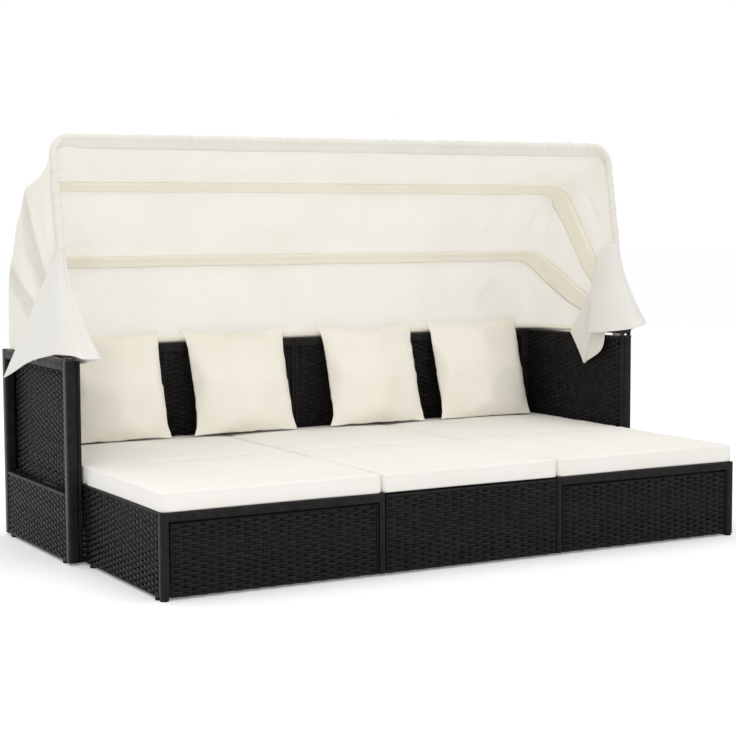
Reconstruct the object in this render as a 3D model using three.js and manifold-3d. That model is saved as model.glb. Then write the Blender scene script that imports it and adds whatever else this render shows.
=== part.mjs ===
// Outdoor daybed with a fan canopy. Millimetres, +Z up, the front faces -Y; the origin is on the floor,
// under the middle of the pulled-out daybed.
import * as THREE from 'three';
import { mergeVertices } from 'three/addons/utils/BufferGeometryUtils.js';
import Module from 'manifold-3d';

const wasm = await Module();
wasm.setup();

// Overall sizes
const width = 2000; // over both arms
const mainDepth = 600; // fixed seat with arms and back
const reach = 572; // how far the pull-out part stands in front of the arms
const armHeight = 586;
const footHeight = 7;
const ledgeHeight = 204; // top of the arms' lower skirt
const deckHeight = 231; // top of all slats and fronts

// Clearances
const seat = 0.3; // between pieces that touch
const slideGap = 3; // beside pieces that slide past each other
const seam = 3; // between neighbouring cushions and fronts
const weld = 0.001; // corners this close together are one

const mainFront = (reach - mainDepth) / 2;
const openFront = -(mainDepth + reach) / 2;
const backPlane = (mainDepth + reach) / 2;

// Arms
const arm = { wide: 42, frameWide: 30, postDeep: 35, railHigh: 30, round: 5 };
const armInner = width / 2 - arm.wide;
const armFrameInner = width / 2 - arm.frameWide;

// Back
const back = { thick: 53, outerPost: 35, innerPost: 12, railHigh: 30, midHigh: 70, bottomHigh: 30, round: 5 };
const infill = { thick: 15, recess: 3 };
const backFront = backPlane - back.thick;
const midRailLow = deckHeight - back.midHigh;

// Slats and rails of both decks
const slat = { wide: 60, thick: 18, wall: 2.5, mainCount: 12 };
const rail = { thick: 20, high: 40, ledger: 8, wall: 2.5 };
const slatUnder = deckHeight - slat.thick;
const frontPanelThick = 25;

// Pull-out part
const pull = { sideThick: 18, outerPost: 24, innerPost: 18, railHigh: 25, panelGap: 4, centreDrop: 5 };
const pullHalf = armInner - slideGap;
const portalRailLow = deckHeight - pull.railHigh;
const centreHalf = 289; // half of the gap between the two framed fronts
const travel = 510; // how far it slides in

// Cushions and pillows
const cushion = { thick: 52, centreHalf: 293, crown: 7, drawnIn: 5, round: 12, endTaper: 10 };
const cushionGap = 6; // between the front row and the rear row
const cushionInset = 3; // in from the edges of the deck
const cushionFloor = deckHeight + seat;
const pillow = { wide: 385, high: 360, thick: 126, rim: 7, ear: 20, lean: 12, startGap: 12 };
const settleTurns = 24; // steps in which a pillow comes to rest
const pillowShares = [-0.655, -0.235, 0.262, 0.7]; // middles, as shares of half the width

// Canopy: hoop angles are measured up from straight back
const pivot = { setBack: 16, rise: 18, pinRadius: 4, pinHead: 7, headThick: 3, cheek: 3, plate: 3, round: 9 };
const hoopTube = 8; // radius
const hoopCorner = 52; // bend radius
const tongue = { thick: 3, wide: 16, long: 200, overlap: 10, gap: 1.2 };
const rearHoopInset = 26; // from the back's rear face to the middle of the rear hoop's tube
const cloth = { thick: 2.4, sag: 16, ridge: 1.6, hem: 74, valance: 34, lap: 20, rearLift: 3 };
const sleeveEnd = 300; // where the front hoop's leg comes out of the cloth, from the pivot
const sleeveRest = hoopTube + seat;
const sleeveBehind = sleeveRest - cloth.lap;
const flap = { fold: 8, folds: 4, bell: 1.15, rearTurn: -15, innerTurn: -200 };
// Places of the hem from inside behind, round the front, to outside behind: across and back from the leg, and
// over the arm's top.
const flapHem = [
  [-62, 116, -72],
  [-56, -4, -12],
  [-44, -108, 8],
  [14, -84, 22],
  [58, -46, 16],
  [84, 90, -14],
  [110, 226, -60],
];

const legPlane = width / 2 - arm.frameWide / 2;
const pivotY = mainFront + pivot.setBack;
const pivotZ = armHeight + pivot.rise;
const postCentre = mainFront + arm.postDeep / 2;
const rearReach = backPlane - rearHoopInset - pivotY;
const hoops = [
  { name: 'rear', angle: -1, longer: 0 },
  { name: 'lower', angle: 26, longer: 27 },
  { name: 'upper', angle: 53, longer: 53 },
  { name: 'front', angle: 79.5, longer: 70 },
].map(({ name, angle, longer }) => ({ name, angle, radius: rearReach + longer }));

// Feet
const foot = { radius: 12, inset: 60, railLegWide: 30, sideInset: 50 };

const colours = { rattan: '#2b2a2b', steel: '#1f1f21', canvas: '#f3f0e7', pad: '#f4f1e8', throw: '#ece6d8' };

function paint(colour, roughness, metalness) {
  return new THREE.MeshStandardMaterial({ color: colour, roughness, metalness });
}

const materials = {
  rattan: paint(colours.rattan, 0.55, 0),
  wrap: paint(colours.rattan, 0.45, 0),
  steel: paint(colours.steel, 0.4, 0.6),
  plastic: paint(colours.steel, 0.6, 0),
  canvas: paint(colours.canvas, 0.9, 0),
  pad: paint(colours.pad, 0.95, 0),
  throw: paint(colours.throw, 0.95, 0),
};

// Turns a closed geometry into a solid that can be joined and cut.
function toSolid(geometry) {
  const plain = geometry.clone();
  plain.deleteAttribute('normal');
  plain.deleteAttribute('uv');
  const merged = mergeVertices(plain, weld);
  const vertProperties = Float32Array.from(merged.attributes.position.array);
  const triVerts = Uint32Array.from(merged.index.array);
  return new wasm.Manifold(new wasm.Mesh({ numProp: 3, vertProperties, triVerts }));
}

function toGeometry(solid) {
  const mesh = solid.getMesh();
  const geometry = new THREE.BufferGeometry();
  geometry.setAttribute('position', new THREE.BufferAttribute(Float32Array.from(mesh.vertProperties), 3));
  geometry.setIndex(new THREE.BufferAttribute(Uint32Array.from(mesh.triVerts), 1));
  const flat = geometry.toNonIndexed();
  flat.computeVertexNormals();
  return flat;
}

function join(geometries) {
  const solids = geometries.map(toSolid);
  return toGeometry(solids.reduce((sum, next) => sum.add(next)));
}

// A box between two corners.
function block(low, high) {
  const size = high.map((value, axis) => value - low[axis]);
  const geometry = new THREE.BoxGeometry(...size);
  geometry.translate(...low.map((value, axis) => value + size[axis] / 2));
  return geometry;
}

// A bar between two corners whose four long edges are rounded; it runs along the given axis.
function wrappedBar(low, high, axis, round) {
  const across = [0, 1, 2].filter((index) => index !== axis);
  const [wide, tall] = across.map((index) => high[index] - low[index]);
  const shape = roundedRectangle(wide, tall, round);
  const length = high[axis] - low[axis];
  const geometry = new THREE.ExtrudeGeometry(shape, { depth: length, bevelEnabled: false, curveSegments: 2 });
  geometry.translate(-wide / 2, -tall / 2, -length / 2);
  const turn = new THREE.Matrix4();
  const columns = [new THREE.Vector3(), new THREE.Vector3(), new THREE.Vector3()];
  columns[0].setComponent(across[0], 1);
  columns[1].setComponent(across[1], 1);
  columns[2].setComponent(axis, axis === 1 ? -1 : 1);
  geometry.applyMatrix4(turn.makeBasis(...columns));
  geometry.translate(...low.map((value, index) => (value + high[index]) / 2));
  return geometry;
}

function roundedRectangle(wide, tall, round) {
  const shape = new THREE.Shape();
  shape.moveTo(round, 0);
  shape.lineTo(wide - round, 0);
  shape.absarc(wide - round, round, round, -Math.PI / 2, 0);
  shape.lineTo(wide, tall - round);
  shape.absarc(wide - round, tall - round, round, 0, Math.PI / 2);
  shape.lineTo(round, tall);
  shape.absarc(round, tall - round, round, Math.PI / 2, Math.PI);
  shape.lineTo(0, round);
  shape.absarc(round, round, round, Math.PI, Math.PI * 1.5);
  return shape;
}

// An outline in Y and Z, pulled across from X = 0.
function acrossX(shape, depth) {
  const geometry = new THREE.ExtrudeGeometry(shape, { depth, bevelEnabled: false, curveSegments: 6 });
  const turn = new THREE.Matrix4().makeBasis(
    new THREE.Vector3(0, 1, 0),
    new THREE.Vector3(0, 0, 1),
    new THREE.Vector3(1, 0, 0),
  );
  return geometry.applyMatrix4(turn);
}

// An outline in X and Y, pulled up from one height to another.
function upright(outline, low, high) {
  const shape = new THREE.Shape(outline.map(([x, y]) => new THREE.Vector2(x, y)));
  const geometry = new THREE.ExtrudeGeometry(shape, { depth: high - low, bevelEnabled: false });
  geometry.translate(0, 0, low);
  return geometry;
}

// An outline in X and Z, pulled back from one depth to another.
function alongY(outline, frontY, rearY) {
  const shape = new THREE.Shape(outline.map(([x, z]) => new THREE.Vector2(x, z)));
  const geometry = new THREE.ExtrudeGeometry(shape, { depth: rearY - frontY, bevelEnabled: false });
  geometry.rotateX(Math.PI / 2);
  geometry.translate(0, rearY, 0);
  return geometry;
}

// A closed solid through a row of rings that all have the same number of points, with flat ends.
function loft(rings) {
  const count = rings[0].length;
  const positions = rings.flat().flatMap((point) => point.toArray());
  const index = [];
  for (let row = 0; row + 1 < rings.length; row += 1) {
    for (let step = 0; step < count; step += 1) {
      const a = row * count + step;
      const b = row * count + ((step + 1) % count);
      index.push(a, b, b + count, a, b + count, a + count);
    }
  }
  const last = (rings.length - 1) * count;
  capTriangles(rings[0]).forEach(([a, b, c]) => index.push(c, b, a));
  capTriangles(rings[rings.length - 1]).forEach(([a, b, c]) => index.push(last + a, last + b, last + c));
  const geometry = new THREE.BufferGeometry();
  geometry.setAttribute('position', new THREE.Float32BufferAttribute(positions, 3));
  geometry.setIndex(index);
  if (signedVolume(geometry) < 0) index.reverse();
  geometry.setIndex(index);
  return geometry;
}

// Fills one ring, seen along its own normal.
function capTriangles(ring) {
  const normal = new THREE.Vector3();
  ring.forEach((point, step) => normal.add(point.clone().cross(ring[(step + 1) % ring.length])));
  normal.normalize();
  const side = ring[1].clone().sub(ring[0]).normalize();
  const up = normal.clone().cross(side);
  const flat = ring.map((point) => new THREE.Vector2(point.dot(side), point.dot(up)));
  return THREE.ShapeUtils.triangulateShape(flat, []);
}

function signedVolume(geometry) {
  const place = geometry.attributes.position;
  const order = geometry.index.array;
  let sum = 0;
  for (let first = 0; first < order.length; first += 3) {
    const corners = Array.from(order.slice(first, first + 3));
    const [a, b, c] = corners.map((corner) => new THREE.Vector3().fromBufferAttribute(place, corner));
    sum += a.dot(b.cross(c));
  }
  return sum;
}

// Swaps left and right and keeps the faces pointing out.
function mirrored(geometry) {
  return toGeometry(toSolid(geometry).mirror([1, 0, 0]));
}

const daybed = new THREE.Group();

function addMesh(name, geometry, material) {
  const mesh = new THREE.Mesh(geometry, material);
  mesh.name = name;
  daybed.add(mesh);
  return mesh;
}

function addPair(name, geometry, material) {
  addMesh(`${name}_right`, geometry, material);
  addMesh(`${name}_left`, mirrored(geometry), material);
}

// Right arm: posts and top rail.
function armFrame() {
  const bottom = footHeight;
  const front = wrappedBar(
    [armFrameInner, mainFront, bottom],
    [width / 2, mainFront + arm.postDeep, armHeight],
    2,
    arm.round,
  );
  const rear = wrappedBar(
    [armFrameInner, backPlane - arm.postDeep, bottom],
    [width / 2, backPlane, armHeight],
    2,
    arm.round,
  );
  const top = wrappedBar(
    [armFrameInner, mainFront + arm.round, armHeight - arm.railHigh],
    [width / 2, backPlane - arm.round, armHeight],
    1,
    arm.round,
  );
  return join([front, rear, top]);
}

// Upper woven panel, set back from the outer face by the width of the frame.
function armPanel() {
  return wrappedBar(
    [armInner, mainFront, ledgeHeight + seat],
    [armFrameInner - seat, backPlane, armHeight],
    2,
    arm.round,
  );
}

// Lower skirt, notched for the posts, with a strip beside them that fills the arm's width.
function armSkirt() {
  const strip = armFrameInner - seat;
  const frontNotch = mainFront + arm.postDeep + seat;
  const rearNotch = backPlane - arm.postDeep - seat;
  const outline = [
    [armInner, mainFront],
    [strip, mainFront],
    [strip, frontNotch],
    [width / 2, frontNotch],
    [width / 2, rearNotch],
    [strip, rearNotch],
    [strip, backPlane],
    [armInner, backPlane],
  ];
  return upright(outline, footHeight, ledgeHeight);
}

// Right back unit: two posts and three rails.
function backFrame() {
  const inner = seat;
  const outer = armInner - seat;
  const outerPost = wrappedBar(
    [outer - back.outerPost, backFront, footHeight],
    [outer, backPlane, armHeight],
    2,
    back.round,
  );
  const innerPost = wrappedBar(
    [inner, backFront, footHeight],
    [inner + back.innerPost, backPlane, armHeight],
    2,
    back.round,
  );
  const spanLow = inner + back.round;
  const spanHigh = outer - back.round;
  const levels = [
    [armHeight - back.railHigh, armHeight],
    [midRailLow, deckHeight],
    [footHeight, footHeight + back.bottomHigh],
  ];
  const rails = levels.map(([low, high]) =>
    wrappedBar([spanLow, backFront, low], [spanHigh, backPlane, high], 0, back.round),
  );
  return join([outerPost, innerPost, ...rails]);
}

// Woven infill of the back between two heights, near the front of its frame.
function backInfill(low, high) {
  return block(
    [2 * seat + back.innerPost, backFront + infill.recess, low + seat],
    [armInner - 2 * seat - back.outerPost, backFront + infill.recess + infill.thick, high - seat],
  );
}

// Both decks share one row of slats from side to side; the pull-out part has every other one.
const laneCount = slat.mainCount * 2 + 1;
const laneHalf = pullHalf - pull.sideThick - slideGap;
const lanePitch = (laneHalf * 2) / laneCount;

// A pressed steel slat, open below.
function channelSlat(middle, frontY, rearY) {
  const half = slat.wide / 2;
  const inside = half - slat.wall;
  const under = deckHeight - slat.wall;
  const section = [
    [-half, slatUnder],
    [-inside, slatUnder],
    [-inside, under],
    [inside, under],
    [inside, slatUnder],
    [half, slatUnder],
    [half, deckHeight],
    [-half, deckHeight],
  ];
  return alongY(section.map(([x, z]) => [middle + x, z]), frontY, rearY);
}

function slatsFrom(first, frontY, rearY) {
  return slatMiddles(first).map((middle) => channelSlat(middle, frontY, rearY));
}

// The fixed deck's front rail stands on three legs inside the pull-out part. The ledger behind the fronts
// stops short of it, and the pull-out part's rear rail runs behind it.
const ledgerFront = openFront + frontPanelThick + seat;
const mainRailFront = ledgerFront + rail.ledger + travel + slideGap;
const mainRailRear = mainRailFront + rail.thick;
const pullRear = mainRailRear + slideGap + rail.thick;
const mainRailTop = slatUnder - seat * 2;

function fixedDeck() {
  const slats = slatsFrom(1, mainRailFront, backFront - seat);
  const half = laneHalf - slideGap;
  const frontRail = channelRail(half, mainRailFront);
  const legs = railLegPlaces().map((x) =>
    block(
      [x - foot.railLegWide / 2, mainRailFront, footHeight],
      [x + foot.railLegWide / 2, mainRailRear, mainRailTop - rail.wall / 2],
    ),
  );
  const pads = slatPads(1, mainRailFront, mainRailRear);
  return join([...slats, ...pads, frontRail, ...legs]);
}

// A steel rail under the slats, open behind.
function channelRail(half, frontY) {
  const { thick, high, wall } = rail;
  const low = mainRailTop - high;
  const section = [
    [frontY, low],
    [frontY + thick, low],
    [frontY + thick, low + wall],
    [frontY + wall, low + wall],
    [frontY + wall, mainRailTop - wall],
    [frontY + thick, mainRailTop - wall],
    [frontY + thick, mainRailTop],
    [frontY, mainRailTop],
  ];
  const shape = new THREE.Shape(section.map(([y, z]) => new THREE.Vector2(y, z)));
  const geometry = acrossX(shape, half * 2);
  geometry.translate(-half, 0, 0);
  return geometry;
}

// Every other lane of the row, by the middle of its slat.
function slatMiddles(first) {
  const places = [];
  for (let lane = first; lane < laneCount; lane += 2) {
    places.push(-laneHalf + lanePitch * (lane + 0.5));
  }
  return places;
}

// The weld seats between a rail and the slats on it.
function slatPads(first, frontY, rearY) {
  const half = slat.wide / 2;
  return slatMiddles(first).map((x) =>
    block([x - half, frontY, mainRailTop - seat], [x + half, rearY, slatUnder + seat]),
  );
}

function railLegPlaces() {
  const outer = laneHalf - foot.inset;
  return [-outer, 0, outer];
}

// The pull-out deck's slats rest on a ledger behind the fronts and on a rear rail.
function pullDeck() {
  const slats = slatsFrom(0, ledgerFront, pullRear);
  const half = pullHalf - pull.sideThick - seat;
  const ledgerRear = ledgerFront + rail.ledger;
  const ledger = block([-half, ledgerFront, slatUnder - rail.high], [half, ledgerRear, slatUnder + seat]);
  const rearRail = channelRail(half, pullRear - rail.thick);
  const pads = slatPads(0, pullRear - rail.thick, pullRear);
  return join([...slats, ...pads, ledger, rearRail]);
}

function pullSide() {
  return block(
    [pullHalf - pull.sideThick, ledgerFront, footHeight],
    [pullHalf, pullRear, deckHeight],
  );
}

// Framed front right of the middle: two posts and a top rail.
function portalFrame() {
  const outer = wrappedBar(
    [pullHalf - pull.outerPost, openFront, footHeight],
    [pullHalf, openFront + frontPanelThick, deckHeight],
    2,
    arm.round,
  );
  const inner = wrappedBar(
    [centreHalf, openFront, footHeight],
    [centreHalf + pull.innerPost, openFront + frontPanelThick, deckHeight],
    2,
    arm.round,
  );
  const top = wrappedBar(
    [centreHalf + arm.round, openFront, portalRailLow],
    [pullHalf - arm.round, openFront + frontPanelThick, deckHeight],
    0,
    arm.round,
  );
  return join([outer, inner, top]);
}

function portalPanel() {
  return block(
    [centreHalf + pull.innerPost + pull.panelGap, openFront + infill.recess, footHeight],
    [pullHalf - pull.outerPost - pull.panelGap, openFront + frontPanelThick, portalRailLow - pull.panelGap],
  );
}

function centreFront() {
  return wrappedBar(
    [-centreHalf + seam, openFront, footHeight],
    [centreHalf - seam, openFront + frontPanelThick, deckHeight - pull.centreDrop],
    0,
    arm.round,
  );
}

function footPad(x, y) {
  const geometry = new THREE.CylinderGeometry(foot.radius, foot.radius, footHeight - seat, 12);
  geometry.rotateX(Math.PI / 2);
  geometry.translate(x, y, (footHeight - seat) / 2);
  return geometry;
}

function addFeet() {
  const armX = width / 2 - foot.radius - seat;
  addPair('foot_arm_front', footPad(armX, mainFront + foot.inset), materials.plastic);
  addPair('foot_arm_rear', footPad(armX, backPlane - foot.inset), materials.plastic);
  addMesh('foot_back_centre', footPad(back.innerPost / 2, backPlane - back.thick / 2), materials.plastic);
  const railY = (mainRailFront + mainRailRear) / 2;
  const [left, middle, right] = railLegPlaces();
  addMesh('foot_rail_left', footPad(left, railY), materials.plastic);
  addMesh('foot_rail_centre', footPad(middle, railY), materials.plastic);
  addMesh('foot_rail_right', footPad(right, railY), materials.plastic);
  const sideX = pullHalf - pull.sideThick / 2;
  addPair('foot_pull_rear', footPad(sideX, mainFront - foot.sideInset), materials.plastic);
  addPair('foot_pull_front', footPad(pullHalf - foot.radius, openFront + foot.radius), materials.plastic);
  addPair('foot_side_front', footPad(sideX, ledgerFront + foot.radius), materials.plastic);
}

// One section of a box cushion in its depth and height: crowned faces, drawn-in sides and rounded edges.
function cushionRing(x, depth, thick, crown, frontY, floor) {
  const { round, drawnIn } = cushion;
  const depthShares = [0, 0.2, 0.4, 0.6, 0.8, 1];
  const placeY = (share) => frontY + round + (depth - 2 * round) * share;
  const top = depthShares.map((share) =>
    new THREE.Vector3(x, placeY(share), floor + thick + crown * Math.sin(Math.PI * share)),
  );
  const under = depthShares.map((share) => new THREE.Vector3(x, placeY(share), floor));
  const bend = round * Math.SQRT1_2;
  const corner = round - bend;
  const frontSide = [
    new THREE.Vector3(x, frontY + corner, floor + corner),
    new THREE.Vector3(x, frontY + drawnIn / 2, floor + thick / 2),
    new THREE.Vector3(x, frontY + corner, floor + thick - corner),
  ];
  const rearSide = [...frontSide].reverse().map((point) =>
    new THREE.Vector3(x, 2 * frontY + depth - point.y, point.z),
  );
  return [...under.reverse(), ...frontSide, ...top, ...rearSide];
}

function cushionSolid(left, right, frontY, rearY) {
  const { thick, crown, round, drawnIn, endTaper } = cushion;
  const depth = rearY - frontY;
  const body = right - left;
  const endShare = round / body;
  const lengthShares = [0, endShare, 0.18, 0.5, 0.82, 1 - endShare, 1];
  const rings = lengthShares.map((share) => {
    const atEnd = share === 0 || share === 1;
    const thinner = atEnd ? endTaper : 0;
    const less = atEnd ? drawnIn : 0;
    const swell = atEnd ? 0 : crown * Math.sin(Math.PI * share);
    const x = left + body * share;
    const floor = cushionFloor + thinner / 2;
    return cushionRing(x, depth - 2 * less, thick - thinner, swell, frontY + less, floor);
  });
  return loft(rings);
}

function addCushions(row, frontY, rearY) {
  const outer = pullHalf - cushionInset;
  const spans = {
    left: [-outer, -cushion.centreHalf - seam],
    centre: [-cushion.centreHalf, cushion.centreHalf],
    right: [cushion.centreHalf + seam, outer],
  };
  Object.entries(spans).forEach(([place, [left, right]]) => {
    addMesh(`cushion_${row}_${place}`, cushionSolid(left, right, frontY, rearY), materials.pad);
  });
}

// A knife-edge pillow: lens-shaped sections between pointed corners, leaning on the back.
function pillowSolid(middle) {
  const { wide, high, thick, rim, ear, lean, startGap } = pillow;
  const wideShares = [-1, -0.86, -0.6, -0.3, 0, 0.3, 0.6, 0.86, 1];
  const highShares = [-1, -0.8, -0.4, 0, 0.4, 0.8, 1];
  const rings = wideShares.map((u) => {
    const half = high / 2 - ear * (1 - u * u);
    const face = (side) => highShares.map((v) => {
      const fullness = Math.sqrt((1 - u * u) * (1 - v * v));
      const swell = rim / 2 + (thick / 2 - rim / 2) * fullness;
      const drawn = ear * (1 - v * v);
      return new THREE.Vector3(u * (wide / 2 - drawn), side * swell, v * half);
    });
    return [...face(-1), ...face(1).reverse()];
  });
  const solid = loft(rings);
  solid.rotateX(-THREE.MathUtils.degToRad(lean));
  solid.computeBoundingBox();
  const box = solid.boundingBox;
  const floor = cushionFloor + cushion.thick + cushion.crown + startGap;
  solid.translate(middle, backFront - startGap - box.max.y, floor - box.min.z);
  return solid;
}

// Moves a geometry one way until it all but touches one of the others.
function settled(geometry, others, way, longest) {
  let solid = toSolid(geometry);
  const rests = others.map(toSolid);
  for (let turn = 0; turn < settleTurns; turn += 1) {
    const gap = Math.min(...rests.map((rest) => solid.minGap(rest, longest)));
    solid = solid.translate(way.map((part) => part * (gap - seat)));
  }
  return toGeometry(solid);
}

// Each pillow leans on the back and stands on the rear cushions.
function addPillows() {
  const shapesOf = (names) => names.map((name) => daybed.getObjectByName(name).geometry);
  const backs = shapesOf(['back_frame_right', 'back_frame_left', 'back_panel_right', 'back_panel_left']);
  const pads = shapesOf(['cushion_rear_left', 'cushion_rear_centre', 'cushion_rear_right']);
  const longest = pillow.high;
  pillowShares.forEach((share, index) => {
    const leaning = settled(pillowSolid(share * (width / 2)), backs, [0, 1, 0], longest);
    const standing = settled(leaning, pads, [0, 0, -1], longest);
    addMesh(`pillow_${index + 1}`, standing, materials.throw);
  });
}

// Places along the right half of a hoop, from the pivot out along the leg, round the bend and to the middle,
// each as how far across the daybed and how far from the pivot axis.
function hoopOutline(half, radius, bend, start, bendSteps, topSteps) {
  const points = [[half, start], [half, (start + radius - bend) / 2]];
  for (let step = 0; step <= bendSteps; step += 1) {
    const turn = (step / bendSteps) * (Math.PI / 2);
    points.push([half - bend + bend * Math.cos(turn), radius - bend + bend * Math.sin(turn)]);
  }
  for (let step = 1; step <= topSteps; step += 1) {
    points.push([(half - bend) * (1 - step / topSteps), radius]);
  }
  return points;
}

function wholeOutline(rightHalf) {
  const leftHalf = rightHalf.slice(0, -1).map(([x, out]) => [-x, out]);
  return [...rightHalf, ...leftHalf.reverse()];
}

function hoopPoint(angle, x, out, lift) {
  const turn = THREE.MathUtils.degToRad(angle);
  const y = pivotY + out * Math.cos(turn) - lift * Math.sin(turn);
  const z = pivotZ + out * Math.sin(turn) + lift * Math.cos(turn);
  return new THREE.Vector3(x, y, z);
}

// Round tube along a hoop's outline, in the hoop's own plane.
function hoopTubeSolid(angle, outline) {
  const sides = 10;
  const rings = outline.map(([x, out], index) => {
    const before = outline[Math.max(index - 1, 0)];
    const after = outline[Math.min(index + 1, outline.length - 1)];
    const along = new THREE.Vector2(after[0] - before[0], after[1] - before[1]).normalize();
    const ring = [];
    for (let side = 0; side < sides; side += 1) {
      const turn = (side / sides) * Math.PI * 2;
      const wide = hoopTube * Math.cos(turn);
      const lift = hoopTube * Math.sin(turn);
      ring.push(hoopPoint(angle, x - along.y * wide, out + along.x * wide, lift));
    }
    return ring;
  });
  return loft(rings);
}

// Flat end of one leg with its eye; the lane keeps the four tongues on a pin apart.
function tongueSolid(angle, side, lane) {
  const { thick, wide, long, gap } = tongue;
  const shape = new THREE.Shape();
  shape.moveTo(0, -wide / 2);
  shape.lineTo(long, -wide / 2);
  shape.lineTo(long, wide / 2);
  shape.lineTo(0, wide / 2);
  shape.absarc(0, 0, wide / 2, Math.PI / 2, Math.PI * 1.5);
  const eye = new THREE.Path();
  eye.absarc(0, 0, pivot.pinRadius + seat, 0, Math.PI * 2, true);
  shape.holes.push(eye);
  const geometry = acrossX(shape, thick);
  const offset = (lane - (hoops.length - 1) / 2) * (thick + gap);
  geometry.rotateX(THREE.MathUtils.degToRad(angle));
  geometry.translate(side * (legPlane + offset) - thick / 2, pivotY, pivotZ);
  return geometry;
}

function hoopSolid(hoop, lane) {
  const outline = wholeOutline(
    hoopOutline(legPlane, hoop.radius, hoopCorner, tongue.long - tongue.overlap, 5, 1),
  );
  const ends = [1, -1].map((side) => tongueSolid(hoop.angle, side, lane));
  return join([hoopTubeSolid(hoop.angle, outline), ...ends]);
}

// A fork on the arm's front post: a base plate with two cheeks.
function pivotBracket() {
  const half = arm.frameWide / 2 - seat;
  const deep = arm.postDeep / 2 - seat;
  const floor = armHeight + seat;
  const base = block(
    [legPlane - half, postCentre - deep, floor],
    [legPlane + half, postCentre + deep, floor + pivot.plate],
  );
  const cheeks = [-half, half - pivot.cheek].map((x) => cheekSolid(legPlane + x, floor));
  return join([base, ...cheeks]);
}

function cheekSolid(x, floor) {
  const reachUp = pivot.round;
  const shape = new THREE.Shape();
  shape.moveTo(pivotY - reachUp, floor);
  shape.lineTo(pivotY + reachUp, floor);
  shape.lineTo(pivotY + reachUp, pivotZ);
  shape.absarc(pivotY, pivotZ, reachUp, 0, Math.PI);
  shape.lineTo(pivotY - reachUp, floor);
  const eye = new THREE.Path();
  eye.absarc(pivotY, pivotZ, pivot.pinRadius + seat, 0, Math.PI * 2, true);
  shape.holes.push(eye);
  const geometry = acrossX(shape, pivot.cheek);
  geometry.translate(x, 0, 0);
  return geometry;
}

// The pin through both cheeks and four tongues, with a head at each end.
function pivotPin() {
  const inner = arm.frameWide / 2;
  const { pinRadius, pinHead, headThick } = pivot;
  const profile = [
    [0, -inner - headThick],
    [pinHead, -inner - headThick],
    [pinHead, -inner],
    [pinRadius, -inner],
    [pinRadius, inner],
    [pinHead, inner],
    [pinHead, inner + headThick],
    [0, inner + headThick],
  ].map(([radius, along]) => new THREE.Vector2(radius, along));
  const geometry = new THREE.LatheGeometry(profile, 12);
  geometry.rotateZ(-Math.PI / 2);
  geometry.translate(legPlane, pivotY, pivotZ);
  return toGeometry(toSolid(geometry));
}

// One gore of the canopy between two hoops: it lies on both and sags a little between them.
function goreSolid(low, high, lowOver, highOver) {
  const spanShares = [0, 0.25, 0.5, 0.75, 1];
  const shapeFor = (hoop, extra) => wholeOutline(
    hoopOutline(legPlane + extra, hoop.radius + extra, hoopCorner + extra, cloth.hem, 4, 5),
  );
  const skin = (extra) => {
    const lower = shapeFor(low, extra);
    const upper = shapeFor(high, extra);
    return lower.map(([x, out], index) => {
      const first = low.angle + (lowOver / out) * THREE.MathUtils.RAD2DEG;
      const last = high.angle + (highOver / out) * THREE.MathUtils.RAD2DEG;
      const inward = inwardAt(lower, index);
      return spanShares.map((share) => {
        const sag = cloth.sag * Math.sin(Math.PI * share) * Math.min(out / low.radius, 1);
        const wide = x + (upper[index][0] - x) * share + inward.x * sag;
        const far = out + (upper[index][1] - out) * share + inward.y * sag;
        return hoopPoint(first + (last - first) * share, wide, far, 0);
      });
    });
  };
  const outer = skin(hoopTube + cloth.ridge + cloth.thick);
  const inner = skin(hoopTube + cloth.ridge);
  return loft(outer.map((row, index) => [...row, ...[...inner[index]].reverse()]));
}

// The direction from an outline towards its inside at one of its points.
function inwardAt(outline, index) {
  const before = outline[Math.max(index - 1, 0)];
  const after = outline[Math.min(index + 1, outline.length - 1)];
  return new THREE.Vector2(before[1] - after[1], after[0] - before[0]).normalize();
}

// The gathered sleeve over the front hoop: it folds over the tube and hangs in front as a valance, which is
// no deeper than the tube along the legs.
function sleeveSolid() {
  const front = hoops[hoops.length - 1];
  const ahead = sleeveRest + cloth.thick;
  const outline = (extra) => wholeOutline(
    hoopOutline(legPlane + extra, front.radius + extra, hoopCorner + extra, sleeveEnd, 5, 6),
  );
  const outer = outline(ahead);
  const inner = outline(sleeveRest);
  const rings = outer.map(([x, out], index) => {
    const [innerX, innerOut] = inner[index];
    const inward = inwardAt(outer, index);
    const topShare = THREE.MathUtils.clamp((legPlane - Math.abs(x)) / hoopCorner, 0, 1);
    const drop = THREE.MathUtils.lerp(ahead, cloth.valance, topShare);
    return [
      hoopPoint(front.angle, x, out, sleeveBehind),
      hoopPoint(front.angle, x, out, ahead),
      hoopPoint(front.angle, x + inward.x * drop, out + inward.y * drop, ahead),
      hoopPoint(front.angle, x + inward.x * drop, out + inward.y * drop, sleeveRest),
      hoopPoint(front.angle, innerX, innerOut, sleeveRest),
      hoopPoint(front.angle, innerX, innerOut, sleeveBehind),
    ];
  });
  return loft(rings);
}

// Right flap: a flared skirt that hangs from the end of the sleeve, round the leg and open behind.
function flapSolid() {
  const count = 14;
  const rows = 6;
  const turn = THREE.MathUtils.degToRad(hoops[hoops.length - 1].angle);
  const topZ = pivotZ + sleeveEnd * Math.sin(turn) + sleeveBehind * Math.cos(turn) - seat;
  const places = flapHem.map(([across, along, over]) =>
    new THREE.Vector3(legPlane + across, pivotY + along, armHeight + over),
  );
  const hem = new THREE.CatmullRomCurve3(places);
  const rings = [];
  for (let row = 0; row <= rows; row += 1) {
    const skin = (extra) => {
      const points = [];
      for (let step = 0; step <= count; step += 1) {
        points.push(flapPoint(hem, step / count, row / rows, topZ, extra));
      }
      return points;
    };
    rings.push([...skin(cloth.thick), ...skin(0).reverse()]);
  }
  return loft(rings);
}

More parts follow.
